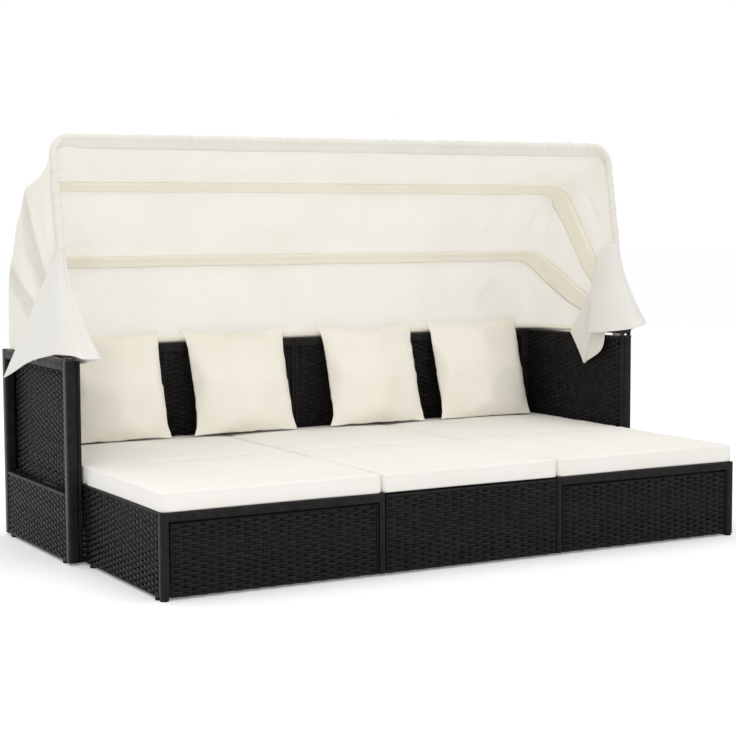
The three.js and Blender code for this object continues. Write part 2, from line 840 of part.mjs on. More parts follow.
// Around runs along the hem's places; down runs from the sleeve to the hem.
function flapPoint(hem, around, down, topZ, extra) {
  const end = hem.getPoint(around);
  const turn = THREE.MathUtils.degToRad(THREE.MathUtils.lerp(flap.innerTurn, flap.rearTurn, around));
  const lean = Math.tan(THREE.MathUtils.degToRad(hoops[hoops.length - 1].angle));
  const legY = (z) => pivotY + (z - pivotZ) / lean;
  const start = new THREE.Vector3(
    legPlane + (hoopTube + seat) * Math.cos(turn),
    legY(topZ) + (hoopTube + seat) * Math.sin(turn),
    topZ,
  );
  const point = start.clone().lerp(end, Math.pow(down, flap.bell));
  point.z = THREE.MathUtils.lerp(topZ, end.z, down);
  const outward = new THREE.Vector3(point.x - legPlane, point.y - legY(point.z), 0).normalize();
  const wave = flap.fold * Math.sin(Math.PI * 2 * flap.folds * around) * down;
  return point.addScaledVector(outward, wave + extra);
}

function addFrame() {
  addPair('arm_frame', armFrame(), materials.wrap);
  addPair('arm_panel', armPanel(), materials.rattan);
  addPair('arm_skirt', armSkirt(), materials.rattan);
  addPair('back_frame', backFrame(), materials.wrap);
  addPair('back_panel', backInfill(deckHeight, armHeight - back.railHigh), materials.rattan);
  addPair('back_skirt', backInfill(footHeight + back.bottomHigh, midRailLow), materials.rattan);
  addMesh('seat_deck', fixedDeck(), materials.steel);
}

function addPullOut() {
  addMesh('pull_deck', pullDeck(), materials.steel);
  addPair('pull_side', pullSide(), materials.rattan);
  addPair('pull_front_frame', portalFrame(), materials.wrap);
  addPair('pull_front_panel', portalPanel(), materials.rattan);
  addMesh('pull_front_centre', centreFront(), materials.rattan);
}

function addCanopy() {
  addPair('pivot_bracket', pivotBracket(), materials.steel);
  addPair('pivot_pin', pivotPin(), materials.steel);
  hoops.forEach((hoop, lane) => addMesh(`hoop_${hoop.name}`, hoopSolid(hoop, lane), materials.steel));
  const [rear, lower, upper, front] = hoops;
  addMesh('canopy_rear_gore', goreSolid(rear, lower, cloth.rearLift, -seat * 2), materials.canvas);
  addMesh('canopy_middle_gore', goreSolid(lower, upper, seat * 2, -seat * 2), materials.canvas);
  addMesh('canopy_front_gore', goreSolid(upper, front, seat * 2, sleeveBehind - seat), materials.canvas);
  addMesh('canopy_sleeve', sleeveSolid(), materials.canvas);
  addPair('canopy_flap', flapSolid(), materials.canvas);
}

addFrame();
addPullOut();
addFeet();
addCushions('rear', mainFront + cushionGap / 2, backFront - cushionInset);
addCushions('front', openFront + cushionInset, mainFront - cushionGap / 2);
addPillows();
addCanopy();

export default daybed;
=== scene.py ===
import math

import bpy
import numpy as np
from mathutils import Matrix, Vector, noise


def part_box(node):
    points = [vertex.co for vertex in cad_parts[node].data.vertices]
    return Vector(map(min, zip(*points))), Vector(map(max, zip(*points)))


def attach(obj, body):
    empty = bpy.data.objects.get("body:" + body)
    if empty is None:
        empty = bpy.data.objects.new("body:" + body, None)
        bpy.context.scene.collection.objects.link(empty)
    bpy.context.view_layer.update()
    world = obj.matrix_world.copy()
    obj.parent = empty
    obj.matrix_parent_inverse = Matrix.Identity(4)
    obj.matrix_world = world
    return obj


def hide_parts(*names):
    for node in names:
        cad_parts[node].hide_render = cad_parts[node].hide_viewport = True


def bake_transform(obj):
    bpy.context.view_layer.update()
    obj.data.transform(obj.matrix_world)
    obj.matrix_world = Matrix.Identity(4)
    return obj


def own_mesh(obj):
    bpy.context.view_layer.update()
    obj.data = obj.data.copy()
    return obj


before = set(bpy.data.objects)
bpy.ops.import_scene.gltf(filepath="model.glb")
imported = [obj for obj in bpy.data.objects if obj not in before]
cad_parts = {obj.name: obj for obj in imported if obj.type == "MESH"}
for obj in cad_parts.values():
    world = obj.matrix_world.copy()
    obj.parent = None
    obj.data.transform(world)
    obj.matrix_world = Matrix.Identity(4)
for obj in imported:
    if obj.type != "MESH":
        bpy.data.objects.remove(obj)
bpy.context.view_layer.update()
chance = np.random.default_rng(11)  # small unevenness of the hand weave
print("frame loaded")


def meshFrom(name, parts, smooth=True):
    # parts is a list of (points, [face arrays]), which become one mesh in metres
    points, loops, sizes, offset = [], [], [], 0
    for partPoints, faceSets in parts:
        for faces in faceSets:
            faces = np.asarray(faces)
            if len(faces):
                loops.append((faces + offset).ravel())
                sizes.append(np.full(len(faces), faces.shape[1]))
        points.append(np.asarray(partPoints, float).reshape(-1, 3))
        offset += len(points[-1])
    points, loops, sizes = map(np.concatenate, (points, loops, sizes))
    mesh = bpy.data.meshes.new(name)
    mesh.vertices.add(len(points))
    mesh.vertices.foreach_set("co", points.astype(np.float32).ravel())
    mesh.loops.add(len(loops))
    mesh.loops.foreach_set("vertex_index", loops.astype(np.int32))
    mesh.polygons.add(len(sizes))
    starts = np.concatenate([[0], np.cumsum(sizes)[:-1]])
    mesh.polygons.foreach_set("loop_start", starts.astype(np.int32))
    mesh.update(calc_edges=True)
    mesh.validate()
    if smooth:
        mesh.shade_smooth()
    piece = bpy.data.objects.new(name, mesh)
    bpy.context.scene.collection.objects.link(piece)
    return piece


def gridFaces(rows, sides, loopSides=False):
    row = np.arange(rows - 1)[:, None] * sides
    side = np.arange(sides if loopSides else sides - 1)[None, :]
    nextRow, nextSide = row + sides, (side + 1) % sides
    return np.stack([row + side, row + nextSide, nextRow + nextSide, nextRow + side], -1).reshape(-1, 4)


def gridMesh(name, grid):
    # an open sheet from a grid of points
    return meshFrom(name, [(grid.reshape(-1, 3), [gridFaces(*grid.shape[:2])])])


def outwardFaces(points, faceSets):
    # turns a closed part's faces so that they point out
    volume = 0.0
    for faces in faceSets:
        for k in range(1, faces.shape[1] - 1):
            a, b, c = points[faces[:, 0]], points[faces[:, k]], points[faces[:, k + 1]]
            volume += float((a * np.cross(b, c)).sum())
    return [faces[:, ::-1] for faces in faceSets] if volume < 0 else faceSets


def sweep(rings, capped=True):
    # rings is (rows, sides, 3): a closed section carried along, with its ends closed if capped
    rows, sides = rings.shape[:2]
    points = rings.reshape(-1, 3)
    faceSets = [gridFaces(rows, sides, loopSides=True)]
    if capped:
        first = np.arange(sides)[None, ::-1]
        last = (rows - 1) * sides + np.arange(sides)[None, :]
        faceSets += [first, last]
    return points, outwardFaces(points, faceSets)


def slab(low, high):
    x0, y0, z0 = low
    x1, y1, z1 = high
    section = np.array([[x0, y0], [x1, y0], [x1, y1], [x0, y1]])
    rings = np.stack([np.column_stack([section, np.full(4, z)]) for z in (z0, z1)])
    return sweep(rings)


def roundedSection(wide, deep, radius, inset=0.0, steps=3):
    # closed outline round 0,0
    points, smallest = [], 0.0005
    halfWide, halfDeep = wide / 2 - inset, deep / 2 - inset
    radius = max(radius - inset, smallest)
    for corner, (sx, sy) in enumerate([(1, 1), (-1, 1), (-1, -1), (1, -1)]):
        for step in range(steps + 1):
            turn = math.radians(90 * corner + 90 * step / steps)
            points.append((
                sx * (halfWide - radius) + radius * math.cos(turn),
                sy * (halfDeep - radius) + radius * math.sin(turn),
            ))
    return np.array(points)


def finishPiece(piece, material, body, replaced=()):
    # body is None for cloth that bends between two bodies
    piece.data.materials.clear()
    piece.data.materials.append(material)
    if body:
        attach(piece, body)
    if replaced:
        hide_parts(*replaced)


def noiseAt(points, scale, seed):
    shift = Vector((seed * 3.1, seed * 7.7, seed * 5.3))  # another part of the noise for each seed
    return np.array([noise.noise(Vector(p) * scale + shift) for p in points])


def noiseLine(run, scale, seed):
    return noiseAt(np.column_stack([run, 0 * run, 0 * run]), scale, seed)


def lumps(points, scale, seed):
    # soft unevenness in all three directions
    return np.stack([noiseAt(points, scale, seed + k) for k in range(3)], -1)


def unit(vectors):
    return vectors / np.linalg.norm(vectors, axis=1)[:, None]


def runAlong(points):
    # the length gone from the first point to each of the others
    return np.concatenate([[0], np.cumsum(np.linalg.norm(np.diff(points, axis=0), axis=1))])


strandLook = {
    "dark": (0.0140, 0.0128, 0.0126, 1),
    "pale": (0.0210, 0.0193, 0.0190, 1),
    "roughness": (0.14, 0.24),
    "grain": 0.15,
    "grainDepth": 0.0004,
    "mirror": 0.062,
    "scales": {"dust": 38, "satin": 240, "grain": 900},
}
clothLooks = {
    "canopyCloth": {"colour": (0.955, 0.945, 0.915, 1), "shade": (0.94, 0.925, 0.885, 1), "through": 0.56},
    # the flaps' cloth is the canopy's canvas painted a little darker and warmer: painted shade
    "flapClothPaintedShade": {"colour": (0.925, 0.91, 0.865, 1), "shade": (0.905, 0.885, 0.835, 1), "through": 0.2},
    # the channels round the hoops are the same canvas painted darker and warmer: painted shade of the double
    # layer
    "tunnelClothPaintedShade": {"colour": (0.955, 0.91, 0.80, 1), "shade": (0.93, 0.88, 0.765, 1), "through": 0.05},
    # the sleeve is the same canvas painted darker: painted shade
    "sleeveClothPaintedShade": {"colour": (0.875, 0.85, 0.775, 1), "shade": (0.845, 0.815, 0.735, 1), "through": 0.1},
    "cushionCloth": {"colour": (0.905, 0.886, 0.835, 1), "shade": (0.885, 0.862, 0.803, 1)},
    "pillowCloth": {"colour": (0.955, 0.918, 0.825, 1), "shade": (0.925, 0.88, 0.775, 1)},
}
threadLook = {
    "canvas": {"bump": 0.08, "rough": 0.9},  # thin cloth, which lets light through
    "cover": {"bump": 0.12, "rough": 0.92},
    "depth": 0.0005,
    "shadeScale": 5,
    "shadeAt": (0.30, 0.55),
    "threads": 210,
    "waver": 0.6,
    "slubs": 420,
    "sheen": 0.15,
    "sheenRough": 0.5,
    "mirror": 0.2,
}
coatLook = {
    "dark": (0.008, 0.008, 0.009, 1),
    "pale": (0.018, 0.018, 0.02, 1),
    "speck": 60,
    "grain": 1400,
    "bump": 0.15,
    "depth": 0.0002,
    "rough": 0.42,
}
zincLook = {"dark": (0.35, 0.35, 0.36, 1), "pale": (0.6, 0.6, 0.6, 1), "speck": 300}


def newMaterial(name):
    material = bpy.data.materials.new(name)
    material.use_nodes = True
    nodes, links = material.node_tree.nodes, material.node_tree.links
    return material, nodes, links, nodes["Principled BSDF"]


def addPlace(nodes):
    return nodes.new("ShaderNodeTexCoord").outputs["Object"]


def addRamp(nodes, links, source, low, high, ends=(0.35, 0.65)):
    ramp = nodes.new("ShaderNodeValToRGB")
    for element, position, colour in zip(ramp.color_ramp.elements, ends, (low, high)):
        element.position, element.color = position, colour
    links.new(source, ramp.inputs["Fac"])
    return ramp.outputs["Color"]


def addMath(nodes, links, operation, first, second):
    # second is a socket or a plain number
    step = nodes.new("ShaderNodeMath")
    step.operation = operation
    links.new(first, step.inputs[0])
    if isinstance(second, float):
        step.inputs[1].default_value = second
    else:
        links.new(second, step.inputs[1])
    return step.outputs[0]


def addMix(nodes, links, share, first, second, surface):
    # share is a socket or a plain number, 0 for the first shader and 1 for the second
    mix = nodes.new("ShaderNodeMixShader")
    if isinstance(share, float):
        mix.inputs[0].default_value = share
    else:
        links.new(share, mix.inputs[0])
    links.new(first.outputs[0], mix.inputs[1])
    links.new(second.outputs[0], mix.inputs[2])
    links.new(mix.outputs[0], surface)


def addNoise(nodes, links, place, scale, detail=3.0, stretch=(1, 1, 1)):
    mapping = nodes.new("ShaderNodeMapping")
    mapping.inputs["Scale"].default_value = stretch
    links.new(place, mapping.inputs["Vector"])
    texture = nodes.new("ShaderNodeTexNoise")
    texture.inputs["Scale"].default_value = scale
    texture.inputs["Detail"].default_value = detail
    links.new(mapping.outputs["Vector"], texture.inputs["Vector"])
    return texture.outputs["Fac"]


def addBump(nodes, links, shader, height, strength, distance):
    bump = nodes.new("ShaderNodeBump")
    bump.inputs["Strength"].default_value = strength
    bump.inputs["Distance"].default_value = distance
    links.new(height, bump.inputs["Height"])
    links.new(bump.outputs["Normal"], shader.inputs["Normal"])


def strandMaterial(name, look):
    # black synthetic strand: satin, with fine drawn grain and dusty variation
    material, nodes, links, shader = newMaterial(name)
    place, scales = addPlace(nodes), look["scales"]
    dust = addNoise(nodes, links, place, scales["dust"], 4)
    links.new(addRamp(nodes, links, dust, look["dark"], look["pale"]), shader.inputs["Base Color"])
    rough = nodes.new("ShaderNodeMapRange")
    rough.inputs["To Min"].default_value, rough.inputs["To Max"].default_value = look["roughness"]
    links.new(addNoise(nodes, links, place, scales["satin"], 2), rough.inputs["Value"])
    links.new(rough.outputs["Result"], shader.inputs["Roughness"])
    grain = addNoise(nodes, links, place, scales["grain"], 2, stretch=(1, 1, 3))
    addBump(nodes, links, shader, grain, look["grain"], look["grainDepth"])
    shader.inputs["Specular IOR Level"].default_value = look["mirror"]
    return material


def clothMaterial(name, look):
    # plain-woven polyester: threads both ways, slubs and soft shade variation
    material, nodes, links, shader = newMaterial(name)
    place = addPlace(nodes)
    soft = addNoise(nodes, links, place, threadLook["shadeScale"], 4)
    colour = addRamp(nodes, links, soft, look["shade"], look["colour"], threadLook["shadeAt"])
    links.new(colour, shader.inputs["Base Color"])
    height = addNoise(nodes, links, place, threadLook["slubs"])
    for direction in ("X", "Y", "Z"):
        wave = nodes.new("ShaderNodeTexWave")
        wave.bands_direction = direction
        wave.inputs["Scale"].default_value = threadLook["threads"]
        wave.inputs["Distortion"].default_value = threadLook["waver"]
        links.new(place, wave.inputs["Vector"])
        height = addMath(nodes, links, "ADD", height, wave.outputs["Fac"])
    kind = threadLook["canvas" if "through" in look else "cover"]
    addBump(nodes, links, shader, height, kind["bump"], threadLook["depth"])
    shader.inputs["Roughness"].default_value = kind["rough"]
    shader.inputs["Sheen Weight"].default_value = threadLook["sheen"]
    shader.inputs["Sheen Roughness"].default_value = threadLook["sheenRough"]
    shader.inputs["Specular IOR Level"].default_value = threadLook["mirror"]
    if "through" in look:
        glow = nodes.new("ShaderNodeBsdfTranslucent")
        links.new(colour, glow.inputs["Color"])
        addMix(nodes, links, look["through"], shader, glow, nodes["Material Output"].inputs["Surface"])
    return material


def coatedMetal(name, look):
    material, nodes, links, shader = newMaterial(name)
    place = addPlace(nodes)
    speck = addNoise(nodes, links, place, look["speck"])
    links.new(addRamp(nodes, links, speck, look["dark"], look["pale"]), shader.inputs["Base Color"])
    grain = addNoise(nodes, links, place, look["grain"], 2)
    addBump(nodes, links, shader, grain, look["bump"], look["depth"])
    shader.inputs["Roughness"].default_value = look["rough"]
    return material


def zincMetal(name, look):
    material, nodes, links, shader = newMaterial(name)
    speck = addNoise(nodes, links, addPlace(nodes), look["speck"])
    links.new(addRamp(nodes, links, speck, look["dark"], look["pale"]), shader.inputs["Base Color"])
    shader.inputs["Metallic"].default_value = 1
    return material


strand = strandMaterial("rattanStrand", strandLook)
coated = coatedMetal("blackPowderCoat", coatLook)
zinc = zincMetal("zincScrew", zincLook)
footPlastic = strandMaterial("footPlastic", {**strandLook, "roughness": (0.5, 0.65), "grain": 0.1})
cloths = {name: clothMaterial(name, look) for name, look in clothLooks.items()}
print("materials made")


weave = {
    "stakePitch": 0.0255,
    "strandPitch": 0.0081,
    "strandWide": 0.0081,
    "strandThick": 0.0011,
    "strandFill": 0.995,  # most of its row that a strand takes
    "flatShare": 0.72,  # flat part of a strand's width
    "overUnder": 0.0026,
    "steps": 4,  # points from one stake to the next
    "stakeWide": 0.0075,
    "stakeThick": 0.0004,
    "stakeInset": 0.0005,
    "sink": 0.0033,  # middle of the woven layer below the face of its panel
    "core": 0.0057,  # face of the panel to the solid behind the weave
    "tension": 0.12,  # how much the rows differ in depth
    "stray": 0.00022,  # and in place
}
wrap = {
    "pitch": 0.0082,
    "groove": 0.0007,
    "radius": 0.006,
    "edgeRadius": 0.003,
    "roundest": 0.45,  # largest radius as a share of a run's width
    "bandShares": (0.16, 0.84),
    "stray": 0.024,  # how much the bands differ in place, as a share of their pitch
    "under": 0.001,  # how far a core stays back from the ends of its weave
    "lap": 0.002,  # how far a rail runs into the winding of the posts
}


def wovenSkin(start, end, low, high, outward):
    # strands over and under upright stakes, on a flat face from start to end in X and Y
    start, end, outward = np.array(start, float), np.array(end, float), np.array(outward, float)
    length = np.linalg.norm(end - start)
    stakes = max(2, round(length / weave["stakePitch"]))
    count = stakes * weave["steps"] + 1
    along = (end - start) / length
    rows = max(2, round((high - low) / weave["strandPitch"]))
    pitch = (high - low) / rows
    place = np.linspace(0, length, count)
    row = np.arange(rows)[:, None]
    phase = np.arange(count)[None, :] / weave["steps"] - 0.5 + row
    wave = weave["overUnder"] * np.cos(np.pi * phase)
    wave *= 1 + weave["tension"] * chance.standard_normal((rows, 1))
    middle = low + (row + 0.5) * pitch + weave["stray"] * chance.standard_normal((rows, 1))
    wide = min(weave["strandWide"], pitch * weave["strandFill"]) / 2
    flat, thick = wide * weave["flatShare"], weave["strandThick"] / 2
    section = [(wide, 0), (flat, thick), (-flat, thick), (-wide, 0), (0, -thick)]
    rings = np.zeros((rows, count, len(section), 3))
    for side, (up, out) in enumerate(section):
        depth = wave + out - weave["sink"]
        for axis in (0, 1):
            rings[:, :, side, axis] = start[axis] + along[axis] * place + outward[axis] * depth
        rings[:, :, side, 2] = middle + up
    parts = [sweep(ring) for ring in rings]
    half, out = along * weave["stakeWide"] / 2, outward * weave["stakeThick"]
    for stake in range(stakes):
        centre = start + along * (stake + 0.5) * length / stakes - outward * weave["sink"]
        section = [centre - half, centre + out, centre + half, centre - out]
        heights = (low + weave["stakeInset"], high - weave["stakeInset"])
        parts.append(sweep(np.array([[[x, y, z] for x, y in section] for z in heights])))
    return parts


def wrappedRun(low, high, axis, radius=None):
    # a tube wound with flat strand, band beside band, between two corners of its box
    low, high = np.array(low, float), np.array(high, float)
    across = [a for a in range(3) if a != axis]
    wide, deep = (high - low)[across]
    radius = min(radius or wrap["radius"], min(wide, deep) * wrap["roundest"])
    length = high[axis] - low[axis]
    bands = max(1, round(length / wrap["pitch"]))
    pitch = length / bands
    centre = (low + high) / 2
    full, grooved = (roundedSection(wide, deep, radius, inset) for inset in (0, wrap["groove"]))

    def ringAt(section, place):
        ring = np.zeros((len(section), 3))
        ring[:, across] = section + centre[across]
        ring[:, axis] = low[axis] + place
        return ring

    rings = []
    for band in range(bands):
        stray = wrap["stray"] * pitch * chance.standard_normal()
        rings.append(ringAt(grooved, band * pitch))
        for share in wrap["bandShares"]:
            rings.append(ringAt(full, (band + share) * pitch + stray))
    rings.append(ringAt(grooved, length))
    return [sweep(np.array(rings))]


def mirrorParts(parts):
    flipped = []
    for points, faceSets in parts:
        points = points.copy()
        points[:, 0] *= -1
        flipped.append((points, [faces[:, ::-1] for faces in faceSets]))
    return flipped


def addPair(name, parts, body, node):
    # the right piece and its mirror image, both in strand
    finishPiece(meshFrom(name + "Right", parts), strand, body, [node + "_right"])
    finishPiece(meshFrom(name + "Left", mirrorParts(parts)), strand, body, [node + "_left"])


def corners(node):
    low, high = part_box(node)
    return np.array(low), np.array(high)


armLook = {
    "rail": 0.030,
    "post": 0.035,
    "edge": 0.012,
    "ledge": 0.009,
    "hem": 0.008,
    "gap": 0.0005,  # between the posts' winding and the lower part
    "ledgeGap": 0.0003,  # between the panel and the ledge's winding
    "hidden": 0.020,  # foot of the panel without weave inside, behind the cushions
}
frameLow, frameHigh = corners("arm_frame_right")
panelLow, panelHigh = corners("arm_panel_right")


def armFrame():
    rail, post, lap = armLook["rail"], armLook["post"], wrap["lap"]
    x0, y0, z0 = frameLow
    x1, y1, z1 = frameHigh
    parts = wrappedRun((x0, y0, z0), (x1, y0 + post, z1), 2)
    parts += wrappedRun((x0, y1 - post, z0), (x1, y1, z1), 2)
    return parts + wrappedRun((x0, y0 + post - lap, z1 - rail), (x1, y1 - post + lap, z1), 1)


def armPanel():
    edge, core, post = armLook["edge"], weave["core"], armLook["post"]
    x0, y0, z0 = panelLow
    x1, y1, z1 = panelHigh
    parts = [slab((x0 + core, y0 + core, z0), (x1 - core, y1 - core, z1 - core))]
    parts += wrappedRun((x0, y0, z0), (x1, y0 + edge, z1), 2)
    parts += wrappedRun((x0, y1 - edge, z0), (x1, y1, z1), 2)
    parts += wrappedRun((x0, y0 + edge, z1 - edge), (x1, y1 - edge, z1), 1)
    parts += wovenSkin((x0, y1 - edge), (x0, y0 + edge), z0 + armLook["hidden"], z1 - edge, (-1, 0))
    return parts + wovenSkin((x1, y0 + post), (x1, y1 - post), z0, z1 - armLook["rail"], (1, 0))


def armSkirt():
    ledge, hem, core, under = armLook["ledge"], armLook["hem"], weave["core"], wrap["under"]
    x0, y0, z0, x1, y1, z1 = np.ravel(corners("arm_skirt_right"))
    front, rear = y0 + armLook["post"] + armLook["gap"], y1 - armLook["post"] - armLook["gap"]
    inner = panelHigh[0]
    parts = [slab((x0, y0 + core, z0 + under), (inner, y1 - core, z1))]
    parts += [slab((inner, front, z0 + under), (x1 - core, rear, z1 - ledge / 2))]
    ledgeLow = (inner + armLook["ledgeGap"], front, z1 - ledge)
    parts += wrappedRun(ledgeLow, (x1, rear, z1), 1, wrap["edgeRadius"])
    parts += wrappedRun((x1 - hem, front, z0), (x1, rear, z0 + hem), 1, wrap["edgeRadius"])
    parts += wovenSkin((x1, front), (x1, rear), z0 + hem, z1 - ledge, (1, 0))
    parts += wovenSkin((x0, y0), (inner, y0), z0, z1, (0, -1))
    return parts + wovenSkin((inner, y1), (x0, y1), z0, z1, (0, 1))


addPair("armFrame", armFrame(), "sofa", "arm_frame")
addPair("armPanel", armPanel(), "sofa", "arm_panel")
addPair("armSkirt", armSkirt(), "sofa", "arm_skirt")
print("arms made")


backLook = {
    "outerPost": 0.035,
    "innerPost": 0.012,
    "innerRadius": 0.004,
    "rail": 0.030,
    "mid": 0.070,
    "foot": 0.030,
}


def backFrame():
    x0, y0, z0, x1, y1, z1 = np.ravel(corners("back_frame_right"))
    deck, lap = corners("seat_deck")[1][2], wrap["lap"]
    inner, outer = x0 + backLook["innerPost"], x1 - backLook["outerPost"]
    parts = wrappedRun((x0, y0, z0), (inner, y1, z1), 2, backLook["innerRadius"])
    parts += wrappedRun((outer, y0, z0), (x1, y1, z1), 2)
    for low, high in (
        (z1 - backLook["rail"], z1),
        (deck - backLook["mid"], deck),
        (z0, z0 + backLook["foot"]),
    ):
        parts += wrappedRun((inner - lap, y0, low), (outer + lap, y1, high), 0)
    return parts


def backInfill(node):
    x0, y0, z0, x1, y1, z1 = np.ravel(corners(node))
    core = weave["core"]
    parts = [slab((x0, y0 + core, z0), (x1, y1 - core, z1))]
    parts += wovenSkin((x0, y0), (x1, y0), z0, z1, (0, -1))
    return parts + wovenSkin((x1, y1), (x0, y1), z0, z1, (0, 1))


addPair("backFrame", backFrame(), "sofa", "back_frame")
addPair("backPanel", backInfill("back_panel_right"), "sofa", "back_panel")
addPair("backSkirt", backInfill("back_skirt_right"), "sofa", "back_skirt")
print("back made")


pullLook = {
    "outerPost": 0.024,
    "innerPost": 0.018,
    "rail": 0.025,
    "cap": 0.008,
    "foot": 0.006,
    "footWide": 0.008,
    "footRadius": 0.002,
    "edge": 0.004,
    "edgeRadius": 0.0018,
}


def pullSide():
    x0, y0, z0, x1, y1, z1 = np.ravel(corners("pull_side_right"))
    cap, foot = pullLook["cap"], pullLook["foot"]
    parts = [slab((x0, y0, z0 + wrap["under"]), (x1 - weave["core"], y1, z1 - cap / 2))]
    parts += wrappedRun((x0, y0, z1 - cap), (x1, y1, z1), 1, wrap["edgeRadius"])
    parts += wrappedRun((x1 - pullLook["footWide"], y0, z0), (x1, y1, z0 + foot), 1, pullLook["footRadius"])
    return parts + wovenSkin((x1, y0), (x1, y1), z0 + foot, z1 - cap, (1, 0))


def portalFrame():
    x0, y0, z0, x1, y1, z1 = np.ravel(corners("pull_front_frame_right"))
    inner, outer, lap = x0 + pullLook["innerPost"], x1 - pullLook["outerPost"], wrap["lap"]
    parts = wrappedRun((outer, y0, z0), (x1, y1, z1), 2)
    parts += wrappedRun((x0, y0, z0), (inner, y1, z1), 2)
    return parts + wrappedRun((inner - lap, y0, z1 - pullLook["rail"]), (outer + lap, y1, z1), 0)


def frontCore(low, high, top):
    # what stands behind the weave of a front
    under, core = wrap["under"], weave["core"]
    return slab((low[0] + under, low[1] + core, low[2] + under), (high[0] - under, high[1], high[2] - top))


def portalPanel():
    low, high = corners("pull_front_panel_right")
    x0, y0, z0, x1, _, z1 = np.ravel((low, high))
    edge, radius = pullLook["edge"], pullLook["edgeRadius"]
    parts = [frontCore(low, high, wrap["under"])]
    for left in (x0, x1 - edge):
        parts += wrappedRun((left, y0, z0), (left + edge, y0 + edge, z1), 2, radius)
    parts += wrappedRun((x0 + edge, y0, z1 - edge), (x1 - edge, y0 + edge, z1), 0, radius)
    return parts + wovenSkin((x0 + edge, y0), (x1 - edge, y0), z0, z1 - edge, (0, -1))


def centreFront():
    low, high = corners("pull_front_centre")
    x0, y0, z0, x1, y1, z1 = np.ravel((low, high))
    cap = pullLook["cap"]
    parts = [frontCore(low, high, cap / 2)]
    parts += wrappedRun((x0, y0, z1 - cap), (x1, y1, z1), 0, wrap["edgeRadius"])
    return parts + wovenSkin((x0, y0), (x1, y0), z0, z1 - cap, (0, -1))


addPair("pullSide", pullSide(), "pull_out", "pull_side")
addPair("portalFrame", portalFrame(), "pull_out", "pull_front_frame")
addPair("portalPanel", portalPanel(), "pull_out", "pull_front_panel")
finishPiece(meshFrom("centreFront", centreFront()), strand, "pull_out", ["pull_front_centre"])
print("pull-out part made")


# decks, hoops, pivots and feet keep the frame's own solids
for nodeName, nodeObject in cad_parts.items():
    if nodeName.startswith(("seat_deck", "pull_deck", "pivot_", "hoop_", "foot_")):
        nodeObject.data.materials.clear()
        nodeObject.data.materials.append(footPlastic if nodeName.startswith("foot_") else coated)


cushionLook = {
    "count": 220,
    "crown": 0.007,
    "rimCrown": 0.001,  # how far the upper edge follows the crown
    "corner": 0.010,
    "edge": 0.0055,
    "lowEdge": 0.7,  # how much tighter the lower edge turns
    "pullIn": 0.0012,
    "pullReach": 0.03,
    "bulge": 0.0010,  # how far the sides bulge between the two seams
    "bulgeShare": 0.8,
    "boxing": 0.0003,
    "seam": 0.0004,
    "seamPlaces": (0.0016, 0.0014),  # each seam's distance from its edge, the upper one first
    "boxingPlace": 0.003,
    "topShares": (0.02, 0.15, 0.3, 0.45, 0.6, 0.72, 0.82, 0.89, 0.94),
    "sideShares": (0.06, 0.25, 0.5, 0.75, 0.94),
    "baseShares": (0.93, 0.6, 0.2),
    "topTurns": (80, 60, 40, 20, 5),
    "baseTurns": (5, 30, 55, 80),
    "hollows": (0.0016, 9),  # height and scale of the stuffing's unevenness
    "dents": (0.0009, 26),
    "fill": 0.8,
}


def perimeter(wide, deep):
    # rounded rectangle whose sides draw in between the corners, evenly spaced points
    fine = roundedSection(wide, deep, cushionLook["corner"], steps=10)
    closed = np.vstack([fine, fine[:1]])
    run = runAlong(closed)
    at = np.linspace(0, run[-1], cushionLook["count"], endpoint=False)
    points = np.column_stack([np.interp(at, run, closed[:, k]) for k in (0, 1)])
    for k, (size, other) in enumerate(((wide, deep), (deep, wide))):
        near = np.clip(1 - (size / 2 - np.abs(points[:, k])) / cushionLook["pullReach"], 0, 1)
        inward = cushionLook["pullIn"] * near * (1 - (2 * points[:, 1 - k] / other) ** 2)
        points[:, k] -= np.sign(points[:, k]) * inward
    return points


def boxCushion(node, seed):
    low, high = corners(node)
    wide, deep = (high - low)[:2]
    centre = (low + high) / 2
    count, crown, edge, bulge = (cushionLook[k] for k in ("count", "crown", "edge", "bulge"))
    thick = high[2] - low[2] - crown
    outline = perimeter(wide, deep)
    outwards = unit(outline)
    rings = []

    def ring(share, inset, z, rise=0.0):
        flat = outline * share - outwards * inset
        place = np.column_stack([flat + centre[:2], np.full(count, low[2] + z)])
        u, v = 2 * flat[:, 0] / wide, 2 * flat[:, 1] / deep
        place[:, 2] += rise * (1 - np.abs(u) ** 3) * (1 - np.abs(v) ** 3)
        rings.append(place)

    for share in cushionLook["topShares"]:
        ring(share, 0, thick, crown)
    for turn in np.radians(cushionLook["topTurns"]):
        inset, rise = bulge + edge * (1 - math.cos(turn)), cushionLook["rimCrown"]
        ring(1, inset, thick - edge * (1 - math.sin(turn)), rise)
    upperSeam, lowerSeam = cushionLook["seamPlaces"]
    ring(1, bulge + cushionLook["seam"], thick - edge - upperSeam)
    margin = edge + cushionLook["boxingPlace"]
    for share in cushionLook["sideShares"]:
        drawn = bulge * (1 - math.sin(math.pi * share)) * cushionLook["bulgeShare"]
        ring(1, drawn + cushionLook["boxing"], thick - margin - share * (thick - 2 * margin))
    ring(1, bulge + cushionLook["seam"], edge + lowerSeam)
    upper = len(rings)  # the rings above the lower edge, which the stuffing moves
    for turn in np.radians(cushionLook["baseTurns"]):
        inset = bulge + edge * cushionLook["lowEdge"] * (1 - math.cos(turn))
        ring(1, inset, edge * (1 - math.sin(turn)))
    for share in cushionLook["baseShares"]:
        ring(share, 0, 0)
    rings = np.array(rings)
    flat = rings[:upper].reshape(-1, 3).copy()
    for shift, (high, scale) in ((0, cushionLook["hollows"]), (2, cushionLook["dents"])):
        rings[:upper, :, 2] += high * noiseAt(flat, scale, seed + shift).reshape(upper, count)
    return [sweep(rings)]


